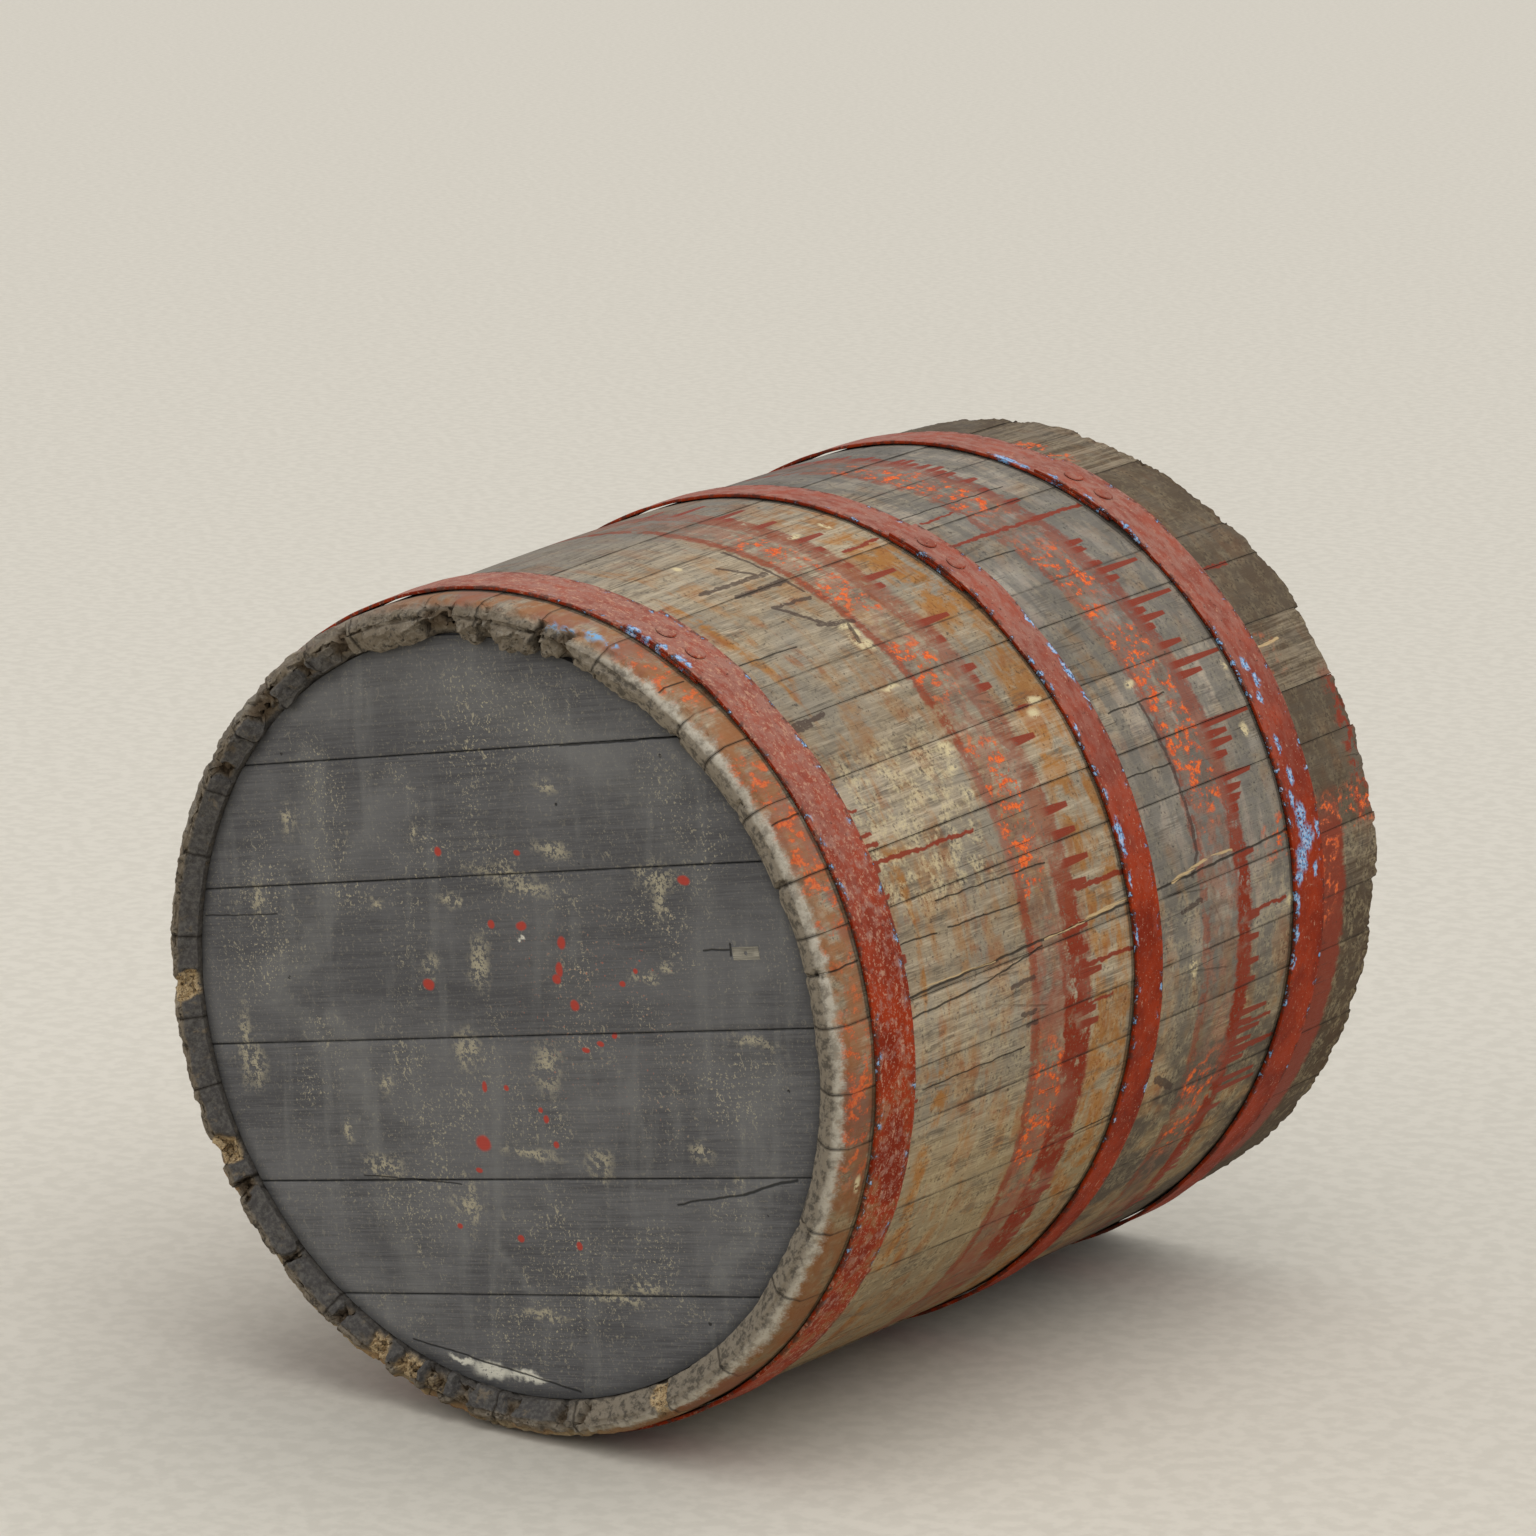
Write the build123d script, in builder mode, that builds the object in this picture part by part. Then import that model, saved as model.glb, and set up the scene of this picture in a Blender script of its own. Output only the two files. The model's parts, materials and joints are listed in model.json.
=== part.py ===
from build123d import *
from math import atan2, cos, degrees, hypot, radians, sin
import os

# An open-topped oak wine barrel, lying on its side as it would be found in a cellar.
# Its axis runs along +Y, head end towards -Y and open end towards +Y, and it rises a little
# because the barrel rests on its head hoop and its middle hoop, which are worn flat below.
# Origin: on the floor, under the middle of the barrel.

# ---- driving dimensions, millimetres and degrees ----
barrel_length = 695.0  # from the rim of the head end to the open end, along the axis
head_end_radius = 300.0  # outside of the staves at the head end
open_end_radius = 322.0  # outside of the staves at the open end
swell = 4.1  # how far the staves bow out, halfway along, from a straight cone

chime_wall_radius = 274.0  # inside of the staves between rim and head
rim_inner_radius = 286.0  # where the bevel of the rim starts
bevel_depth = 10.0  # how far that bevel reaches in
rim_rounding = 3.0
inner_middle_radius = 291.5  # inside of the staves halfway along
inner_open_radius = 299.0  # inside of the staves at the open end
open_end_rounding = 4.0
uneven_end = 6.0  # the shortest stave ends this far before the longest one

stave_gap = 0.4  # the staves have dried out and stand a hair apart
# where one stave meets the next, as angles around the head end, counter-clockwise from +X
stave_seams = [
    -1.0, 8.0, 20.3, 27.8, 38.1, 47.5, 53.5, 69.0, 80.0, 90.0, 100.0,
    113.0, 122.0, 131.0, 140.0, 151.0, 162.0, 175.0, 187.5, 198.0, 213.0,
    226.5, 236.0, 246.0, 255.5, 268.0, 282.5, 300.0, 312.0, 328.0, 339.0, 351.5,
]

head_face_depth = 14.0  # from the rim in to the outer face of the head
head_thickness = 22.0
groove_depth_in = 19.5  # from the rim in to the groove that holds the head
groove_width = 7.0
groove_radius = 280.2
tongue_clearance = 0.5  # between the head's tongue and the groove, all round
head_bevel_radius = 262.0  # inside edge of the head's bevel
board_roll = 9.7  # the head boards run this much uphill from level
board_seams = [-198.0, -114.0, -11.0, 104.0, 192.0]  # heights of the joints across the head
board_gap = 0.4

dowel_radius = 4.0
dowel_length = 40.0
dowel_spread = 110.0  # each joint's two dowels sit this far either side of the middle
dowel_fit = 0.05

plug_place = (223.0, 42.0)  # along and across the boards
plug_size = (22.0, 9.0)
plug_depth = 12.0
plug_fit = 0.1
nail_hole_radius = 1.5

hoop_thickness = 2.5
hoop_clearance = 0.15  # between the hoops and the staves
lap_arc = 13.0  # each hoop's ends overlap through this angle
rivet_arc = 5.0  # between the two rivets of a lap
rivet_shank_radius = 3.0
rivet_head_radius = 6.0
rivet_head_height = 2.6
rivet_fit = 0.05
worn_flat = 1.5  # the two hoops that it lies on are worn flat this deep along the floor
# name: (start and end along the axis, angle of the middle of its lap)
hoops = {
    "head_hoop": (34.0, 76.0, 63.9),
    "middle_hoop": (344.0, 378.0, 63.1),
    "open_end_hoop": (562.0, 604.0, 66.1),
}


def outer_radius(along):
    """Outside radius of the staves at a distance along the axis from the head rim."""
    share = along / barrel_length
    cone = head_end_radius + (open_end_radius - head_end_radius) * share
    return cone + 4 * swell * share * (1 - share)


def resting_point(name):
    """Where a hoop would touch the floor: its wide edge, as (along the axis, radius)."""
    end = hoops[name][1]
    return end, outer_radius(end) + hoop_clearance + hoop_thickness


# ---- the barrel's frame: it lies on the wide edges of the head hoop and the middle hoop ----
along_1, radius_1 = resting_point("head_hoop")
along_2, radius_2 = resting_point("middle_hoop")
rise = atan2(radius_2 - radius_1, along_2 - along_1)
inward = Vector(0, cos(rise), sin(rise))
end_spread = (open_end_radius - head_end_radius) * sin(rise)
head_rim_center = Vector(
    0,
    -(barrel_length * cos(rise) + end_spread) / 2,
    radius_1 * cos(rise) - along_1 * sin(rise) - worn_flat,
)
barrel_axis = Axis(head_rim_center, -inward)


def radial(angle):
    """Unit vector out from the axis at an angle around it."""
    return Vector(1, 0, 0).rotate(barrel_axis, angle)


def section_plane(angle):
    """Plane through the axis: sketch x is the radius, sketch y the distance along the axis."""
    out = radial(angle)
    return Plane(origin=head_rim_center, x_dir=out, z_dir=out.cross(inward))


def surface_point(along, angle, radius):
    return head_rim_center + inward * along + radial(angle) * radius


def save(part, name):
    part.label = name
    export_step(part, f"parts/{name}.step")


os.makedirs("parts", exist_ok=True)

# ---- staves: each is its own board, grooved for the head and bevelled at the rim ----
for index, seam in enumerate(stave_seams):
    next_seam = stave_seams[(index + 1) % len(stave_seams)]
    gap_arc = degrees(stave_gap / head_end_radius)
    arc = (next_seam - seam) % 360 - gap_arc
    stave_end = barrel_length - uneven_end * (index * 5 % 4) / 3
    groove_end = groove_depth_in + groove_width
    middle = (groove_end + stave_end) / 2
    with BuildPart() as stave:
        with BuildSketch(section_plane(seam + gap_arc / 2)) as section:
            with BuildLine():
                outside = ThreePointArc(
                    (head_end_radius, 0),
                    (outer_radius(stave_end / 2), stave_end / 2),
                    (outer_radius(stave_end), stave_end),
                )
                inside = ThreePointArc(
                    (inner_open_radius, stave_end),
                    (inner_middle_radius, middle),
                    (chime_wall_radius, groove_end),
                )
                Line(outside @ 1, inside @ 0)
                Polyline(
                    inside @ 1,
                    (groove_radius, groove_end),
                    (groove_radius, groove_depth_in),
                    (chime_wall_radius, groove_depth_in),
                    (chime_wall_radius, bevel_depth),
                    (rim_inner_radius, 0),
                    outside @ 0,
                )
            make_face()
            corners = section.vertices().sort_by(lambda corner: corner.distance_to(outside @ 0))
            fillet(corners[0], radius=rim_rounding)
            tips = section.vertices().sort_by(lambda corner: corner.distance_to(outside @ 1))
            fillet(tips[0:2], radius=open_end_rounding)
        revolve(axis=barrel_axis, revolution_arc=arc)
    save(stave.part, f"stave_{index + 1:02d}")

# ---- head: six boards side by side, held in the groove and pegged to each other ----
head_plane = Plane(origin=head_rim_center, x_dir=radial(board_roll), z_dir=-inward)
head_back = head_face_depth + head_thickness
tongue_front = groove_depth_in + tongue_clearance
tongue_back = groove_depth_in + groove_width - tongue_clearance
tongue_radius = groove_radius - tongue_clearance
head_radius = chime_wall_radius - tongue_clearance
edges = [-head_end_radius] + board_seams + [head_end_radius]
dowel_depth = -(tongue_front + tongue_back) / 2
plug_x, plug_y = plug_place
plug_plane = head_plane.offset(-head_face_depth)


def dowel_plane(place, seam):
    """Plane in the middle of a dowel, square to it."""
    center = head_plane.from_local_coords((place, seam, dowel_depth))
    return Plane(origin=center, x_dir=head_plane.x_dir, z_dir=head_plane.y_dir)


for index in range(len(edges) - 1):
    low, high = edges[index], edges[index + 1]
    with BuildPart() as board:
        with BuildSketch(section_plane(board_roll)):
            with BuildLine():
                Polyline(
                    (0, head_face_depth),
                    (head_radius, head_face_depth),
                    (head_radius, tongue_front),
                    (tongue_radius, tongue_front),
                    (tongue_radius, tongue_back),
                    (head_radius, tongue_back),
                    (head_bevel_radius, head_back),
                    (0, head_back),
                    close=True,
                )
            make_face()
        revolve(axis=barrel_axis)
        with BuildSketch(head_plane):
            with Locations((0, (low + high) / 2)):
                Rectangle(2 * head_end_radius, high - low - board_gap)
        extrude(amount=-2 * head_back, mode=Mode.INTERSECT)
        for seam in set(edges[index : index + 2]) & set(board_seams):
            for place in (-dowel_spread, dowel_spread):
                with BuildSketch(dowel_plane(place, seam)):
                    Circle(dowel_radius + dowel_fit)
                extrude(amount=dowel_length / 2 + dowel_fit, both=True, mode=Mode.SUBTRACT)
        if low < plug_y < high:
            with BuildSketch(plug_plane):
                with Locations(plug_place):
                    Rectangle(plug_size[0] + 2 * plug_fit, plug_size[1] + 2 * plug_fit)
            extrude(amount=-plug_depth - plug_fit, mode=Mode.SUBTRACT)
    save(board.part, f"head_board_{index + 1}")

with BuildPart() as dowels:
    for seam in board_seams:
        for place in (-dowel_spread, dowel_spread):
            with BuildSketch(dowel_plane(place, seam)):
                Circle(dowel_radius)
            extrude(amount=dowel_length / 2, both=True)
save(dowels.part, "head_dowels")

with BuildPart() as plug:
    with BuildSketch(plug_plane):
        with Locations(plug_place):
            Rectangle(*plug_size)
            Circle(nail_hole_radius, mode=Mode.SUBTRACT)
    extrude(amount=-plug_depth)
save(plug.part, "head_repair_plug")

# ---- hoops: a flat iron strip bent round, its ends lapped and held by two rivets ----
for name, (start, end, lap_angle) in hoops.items():
    middle = (start + end) / 2
    inner_start = outer_radius(start) + hoop_clearance
    inner_end = outer_radius(end) + hoop_clearance
    slope = degrees(atan2(inner_end - inner_start, end - start))
    lap_outside = (inner_start + inner_end) / 2 + 2 * hoop_thickness
    strip_width = hypot(inner_end - inner_start, end - start)
    rivet_angles = (lap_angle - rivet_arc / 2, lap_angle + rivet_arc / 2)

    with BuildPart() as hoop:
        for layer, first, arc in ((0, 0, 360), (1, lap_angle - lap_arc / 2, lap_arc)):
            strip = section_plane(first)
            corner = strip.from_local_coords((inner_start + layer * hoop_thickness, start, 0))
            leaning = Plane(origin=corner, x_dir=strip.x_dir, z_dir=strip.z_dir)
            with BuildSketch(leaning.rotated((0, 0, -slope))):
                Rectangle(hoop_thickness, strip_width, align=(Align.MIN, Align.MIN))
            revolve(axis=barrel_axis, revolution_arc=arc)
        for angle in rivet_angles:
            center = surface_point(middle, angle, lap_outside)
            with BuildSketch(Plane(origin=center, z_dir=radial(angle))):
                Circle(rivet_shank_radius + rivet_fit)
            extrude(amount=2 * hoop_thickness, both=True, mode=Mode.SUBTRACT)
        split(bisect_by=Plane.XY, keep=Keep.TOP)
    save(hoop.part, name)

    with BuildPart() as rivets:
        for angle in rivet_angles:
            center = surface_point(middle, angle, lap_outside)
            across = Plane(origin=center, x_dir=inward, z_dir=radial(angle).cross(inward))
            with BuildSketch(across):
                with BuildLine():
                    dome = ThreePointArc(
                        (0, -rivet_head_height),
                        (rivet_head_radius * sin(radians(45)), -rivet_head_height * 0.65),
                        (rivet_head_radius, 0),
                    )
                    Polyline(
                        dome @ 1,
                        (rivet_shank_radius, 0),
                        (rivet_shank_radius, 2 * hoop_thickness - hoop_clearance),
                        (0, 2 * hoop_thickness - hoop_clearance),
                        dome @ 0,
                    )
                make_face()
            revolve(axis=Axis(center, radial(angle)))
    save(rivets.part, f"{name}_rivets")
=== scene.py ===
import json
from functools import reduce
from math import atan2, ceil, cos, degrees, hypot, pi, radians, sin
from random import Random

import bmesh
import bpy
from mathutils import Matrix, Vector, noise


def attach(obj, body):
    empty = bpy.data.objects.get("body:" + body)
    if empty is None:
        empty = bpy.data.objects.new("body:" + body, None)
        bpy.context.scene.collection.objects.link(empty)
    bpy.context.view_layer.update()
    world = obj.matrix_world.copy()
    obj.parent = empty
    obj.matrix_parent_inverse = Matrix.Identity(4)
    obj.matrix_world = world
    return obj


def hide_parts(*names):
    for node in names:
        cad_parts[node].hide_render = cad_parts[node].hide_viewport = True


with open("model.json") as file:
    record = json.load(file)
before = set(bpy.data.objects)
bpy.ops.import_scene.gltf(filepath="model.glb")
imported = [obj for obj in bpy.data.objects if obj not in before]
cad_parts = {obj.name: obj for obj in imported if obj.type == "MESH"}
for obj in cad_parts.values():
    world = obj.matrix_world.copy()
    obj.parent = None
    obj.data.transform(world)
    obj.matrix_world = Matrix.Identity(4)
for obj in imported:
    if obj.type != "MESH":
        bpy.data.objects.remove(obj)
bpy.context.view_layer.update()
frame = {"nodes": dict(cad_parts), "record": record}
nodes = frame["nodes"]

# The barrel's own frame: x to the right, y from the head rim towards the open end, z up.
# Angles go round the axis, 0 at the right and 90 at the top.
barrel = {
    "length": 0.695,
    "arcPerDegree": 5.4,  # millimetres round the barrel in one degree
    "headEndRadius": 0.300,
    "openEndRadius": 0.322,
    "swell": 0.0041,
    "chimeWall": 0.274,
    "rimInner": 0.286,
    "bevelDepth": 0.010,
    "grooveRadius": 0.2802,
    "grooveStart": 0.0195,
    "grooveEnd": 0.0265,
    "innerMiddle": 0.2915,
    "innerOpen": 0.299,
    "mountRadius": 0.2915,  # where the rim's mount sits on the rim
    "mountAngle": 16.0,
    "boardRoll": 9.7,
    "firstAngle": -172.5,  # where the angle round the barrel starts again, on its hidden side
}
mount = next(item for item in frame["record"]["mounts"] if item["name"] == "head_rim")
inward = -Vector(mount["axis"])
rise = atan2(inward.z, inward.y)
turn = radians(barrel["mountAngle"])
mountArm = Vector((cos(turn), 0, sin(turn))) * barrel["mountRadius"]
tilt = Matrix.Rotation(rise, 4, "X")
rimCenter = Vector(mount["pos_m"]) - tilt @ mountArm
toWorld = Matrix.Translation(rimCenter) @ tilt
toBarrel = toWorld.inverted()


def clamp(value, low=0.0, high=1.0):
    return max(low, min(high, value))


def ease(value, low, high):
    share = clamp((value - low) / (high - low))
    return share * share * (3 - 2 * share)


def outerRadius(along):
    share = along / barrel["length"]
    spread = barrel["openEndRadius"] - barrel["headEndRadius"]
    return barrel["headEndRadius"] + spread * share + 4 * barrel["swell"] * share * (1 - share)


def innerRadius(along):
    middle = (barrel["chimeWall"] + barrel["innerOpen"]) / 2
    share = (along - barrel["grooveEnd"]) / (barrel["length"] - barrel["grooveEnd"])
    straight = barrel["chimeWall"] + (barrel["innerOpen"] - barrel["chimeWall"]) * share
    return straight + 4 * (barrel["innerMiddle"] - middle) * share * (1 - share)


def around(radius, angle, along):
    return Vector((radius * cos(radians(angle)), along, radius * sin(radians(angle))))


def angleOf(point):
    return degrees(atan2(point.z, point.x))


def wrap(angle):
    return (angle + 180) % 360 - 180


def cadPoints(name):
    return [toBarrel @ vertex.co for vertex in nodes[name].data.vertices]


def chain(bm, corners, closed=False):
    # joins corners (x, y, spacing, bend) with edges, divides each edge by its spacing and bends it
    verts = [bm.verts.new((x, y, 0)) for x, y, spacing, bend in corners]
    order = bm.edges.layers.int.new("order")
    count = len(corners) if closed else len(corners) - 1
    for number in range(count):
        edge = bm.edges.new((verts[number], verts[(number + 1) % len(verts)]))
        edge[order] = number
    for number in range(count):
        x, y, spacing, bend = corners[number]
        order = bm.edges.layers.int["order"]
        edge = next(edge for edge in bm.edges if edge[order] == number)
        cuts = int(edge.calc_length() / spacing)
        if not cuts:
            continue
        made = bmesh.ops.subdivide_edges(bm, edges=[edge], cuts=cuts)
        for item in made["geom_inner"]:
            if bend and isinstance(item, bmesh.types.BMVert):
                item.co.x = bend(item.co.y)


def keepPiece(bm, name, material, replaced, sharpAngle=38, worn=None):
    bmesh.ops.transform(bm, matrix=toWorld, verts=bm.verts)
    if worn is not None:
        for vert in bm.verts:
            vert.co.z = max(vert.co.z, worn)
    mesh = bpy.data.meshes.new(name)
    bm.to_mesh(mesh)
    bm.free()
    mesh.shade_smooth()
    mesh.set_sharp_from_angle(angle=radians(sharpAngle))
    mesh.materials.append(material)
    piece = bpy.data.objects.new(name, mesh)
    bpy.context.scene.collection.objects.link(piece)
    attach(piece, "root")
    if replaced:
        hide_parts(*replaced)
    return piece


def tint(red, green, blue):
    # a colour as it is read off a screen, 0 to 255, made linear
    return tuple(
        c / 12.92 if c <= 0.04045 else ((c + 0.055) / 1.055) ** 2.4
        for c in (red / 255, green / 255, blue / 255)
    ) + (1.0,)


def even(value):
    return value, value, value, 1.0


mixing = {}  # the material that is being mixed: its node tree, its paints and its colour so far


def take(material, name):
    material.name = name
    mixing["material"], mixing["tree"] = material, material.node_tree


def begin(name, paint):
    material = bpy.data.materials.new(name)
    material.use_nodes = True
    material.node_tree.nodes.clear()
    take(material, name)
    mixing["paint"] = paint
    mixing["object"] = put("TexCoord").outputs["Object"]


def put(kind, inputs=None, **settings):
    node = mixing["tree"].nodes.new("ShaderNode" + kind)
    for key, value in settings.items():
        setattr(node, key, value)
    for key, value in (inputs or {}).items():
        if isinstance(value, bpy.types.NodeSocket):
            mixing["tree"].links.new(value, node.inputs[key])
        else:
            node.inputs[key].default_value = value
    return node


def calc(operation, a, b=0.5, c=0.0, clamped=False):
    return put("Math", {0: a, 1: b, 2: c}, operation=operation, use_clamp=clamped).outputs[0]


def times(*values):
    return reduce(lambda a, b: calc("MULTIPLY", a, b), values)


def most(*values):
    return reduce(lambda a, b: calc("MAXIMUM", a, b), values)


def opening(name):
    # a mask that is empty until marks are added to a copy of the recipe
    return put("Math", {0: 0.0, 1: 0.0}, operation="MAXIMUM", name=name).outputs[0]


def fill(name, mask):
    if isinstance(mask, bpy.types.NodeSocket):
        mixing["tree"].links.new(mask, mixing["tree"].nodes[name].inputs[0])


def gather(masks):
    # the strongest of many masks, joined one after another as they are made
    return reduce(lambda a, b: calc("MAXIMUM", a, b), masks, 0.0)


def fade(value, low, high, start=0.0, end=1.0):
    inputs = {"Value": value, "From Min": low, "From Max": high, "To Min": start, "To Max": end}
    return put("MapRange", inputs, interpolation_type="SMOOTHSTEP").outputs[0]


def between(value, low, high, soft):
    # 1 where low < value < high, fading out over soft on both sides
    return times(fade(value, low - soft, low + soft), fade(value, high + soft, high - soft))


def arrow(operation, a, b, output=0, **settings):
    # a sum on vectors; b is a number for SCALE
    inputs = {0: a, "Scale" if operation == "SCALE" else 1: b}
    return put("VectorMath", inputs, operation=operation, **settings).outputs[output]


def stretch(vector, factors):
    return arrow("MULTIPLY", vector, factors)


def shift(vector, amounts):
    return arrow("ADD", vector, amounts)


def cloud(vector, scale, detail=3.0, roughness=0.55, distortion=0.0):
    inputs = {"Vector": vector, "Scale": scale, "Detail": detail, "Roughness": roughness,
              "Distortion": distortion}
    return put("TexNoise", inputs).outputs["Fac"]


def cells(vector, scale, feature="F1"):
    inputs = {"Vector": vector, "Scale": scale}
    return put("TexVoronoi", inputs, feature=feature).outputs["Distance"]


def chance(value):
    return put("TexWhiteNoise", {"W": value}, noise_dimensions="1D").outputs["Value"]


def mix(factor, a, b):
    return put("Mix", {0: factor, 6: a, 7: b}, data_type="RGBA").outputs[2]


def ground(low, high, mask):
    # the first coat, which goes from one paint to another
    mixing["color"] = mix(mask, mixing["paint"][low], mixing["paint"][high])


def coat(paint, *masks):
    # lays a paint, or a mixed colour, over what is there, as far as all its masks let it
    if isinstance(paint, str):
        paint = mixing["paint"][paint]
    mixing["color"] = mix(times(*masks), mixing["color"], paint)


def own(attribute):
    return put("Attribute", attribute_name=attribute).outputs["Fac"]


def scatter(vector, scale, detail=2.0):
    # a colour at random, which pushes the lines of a flat map about
    return put("TexNoise", {"Vector": vector, "Scale": scale, "Detail": detail}).outputs["Color"]


def finish(roughness, height, distance, specular=0.3):
    bump = put("Bump", {"Height": height, "Strength": 1.0, "Distance": distance})
    inputs = {"Base Color": mixing["color"], "Roughness": roughness,
              "Normal": bump.outputs[0], "Specular IOR Level": specular}
    shader = put("BsdfPrincipled", inputs)
    put("OutputMaterial", {"Surface": shader.outputs[0]})
    return mixing["material"]


def barrelCoords():
    # a place in the barrel's frame, then along it in millimetres, round it in degrees, and
    # out from its axis in millimetres
    inputs = {"Vector": mixing["object"], "Location": toBarrel.to_translation(),
              "Rotation": (-rise, 0, 0)}
    vector = put("Mapping", inputs).outputs[0]
    place = put("SeparateXYZ", {0: vector})
    along = times(place.outputs[1], 1000.0)
    back = barrel["firstAngle"] + 180
    inputs = {"Vector": vector, "Rotation": (0, radians(back), 0)}
    turned = put("SeparateXYZ", {0: put("Mapping", inputs).outputs[0]})
    angle = calc("ARCTAN2", turned.outputs[2], turned.outputs[0])
    angle = calc("MULTIPLY_ADD", angle, degrees(1), back)
    square = times(place.outputs[0], place.outputs[0])
    square = calc("MULTIPLY_ADD", place.outputs[2], place.outputs[2], square)
    radius = times(calc("SQRT", square), 1000.0)
    return vector, along, angle, radius


def flatMap(first, second, wander, size, name="plane"):
    # a flat drawing plane in millimetres whose lines waver by up to size
    plane = put("CombineXYZ", {0: first, 1: second}).outputs[0]
    drift = arrow("SCALE", arrow("SUBTRACT", wander, (0.5, 0.5, 0.5)), size)
    return arrow("MULTIPLY", shift(plane, drift), (1, 1, 0), name=name)


def stroke(plane, start, end, width, soft=0.5):
    # a stroke of paint, or a crack, from one point of a flat map to another
    reach = Vector((end[0] - start[0], end[1] - start[1], 0))
    away = shift(plane, (-start[0], -start[1], 0))
    share = arrow("DOT_PRODUCT", away, reach / reach.length_squared, "Value")
    share = calc("MULTIPLY", share, 1.0, clamped=True)
    gap = arrow("DISTANCE", away, arrow("SCALE", reach, share), "Value")
    return fade(gap, width / 2 + soft, width / 2 - soft)


def spots(plane, places, soft=0.3):
    # round or oval marks: x, y, half width, half height
    result = 0.0
    for x, y, wide, high in places:
        away = stretch(shift(plane, (-x, -y, 0)), (1 / wide, 1 / high, 0))
        size = put("VectorMath", {0: away}, operation="LENGTH").outputs["Value"]
        result = calc("MAXIMUM", result, fade(size, 1 + soft, 1 - soft))
    return result


def strokes(plane, lines, width=1.0, across=barrel["arcPerDegree"]):
    # lines given by angle and along at the start, then at the end, and width
    return gather(
        stroke(plane, (a * across, b), (c * across, d), w * width) for a, b, c, d, w in lines
    )


def roundMap(vector, along, angle, scale, size, name, detail=2.0):
    # the barrel's side unrolled
    flat = times(angle, barrel["arcPerDegree"])
    return flatMap(flat, along, scatter(vector, scale, detail), size, name)


def drips(along, angle, first, last, longest, width, seed, rare, zones):
    # paint that has run from a stripe towards the open end, one run in each cell round the barrel
    cell = times(angle, barrel["arcPerDegree"] / width)
    number = calc("FLOOR", cell)
    share = calc("SUBTRACT", cell, number)
    luck = chance(calc("ADD", number, seed))
    other = chance(calc("ADD", number, seed + 41.7))
    length = times(fade(luck, rare, 1.0), longest, zones)
    end = calc("ADD", length, last)
    middle = calc("MULTIPLY_ADD", other, 0.3, 0.35)
    aside = calc("ABSOLUTE", calc("SUBTRACT", share, middle))
    thin = fade(along, last - 2, calc("ADD", end, 8.0), 0.36, 0.19)
    side = fade(calc("SUBTRACT", aside, thin), 0.04, -0.04)
    return times(
        side, fade(along, end, calc("SUBTRACT", end, 2.0)),
        fade(along, first, last), fade(length, 1.0, 3.0),
    )


def oakGrain(vector, grainAxis):
    # weathered oak: fine and broad grain drawn out along one axis
    factors = [[860, 860, 860], [190, 190, 190]]
    factors[0][grainAxis] = 34
    factors[1][grainAxis] = 7
    fine = cloud(stretch(vector, factors[0]), 1.0, 3.0, 0.6)
    broad = cloud(stretch(vector, factors[1]), 1.0, 4.0, 0.6, 0.4)
    return fine, broad


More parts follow.
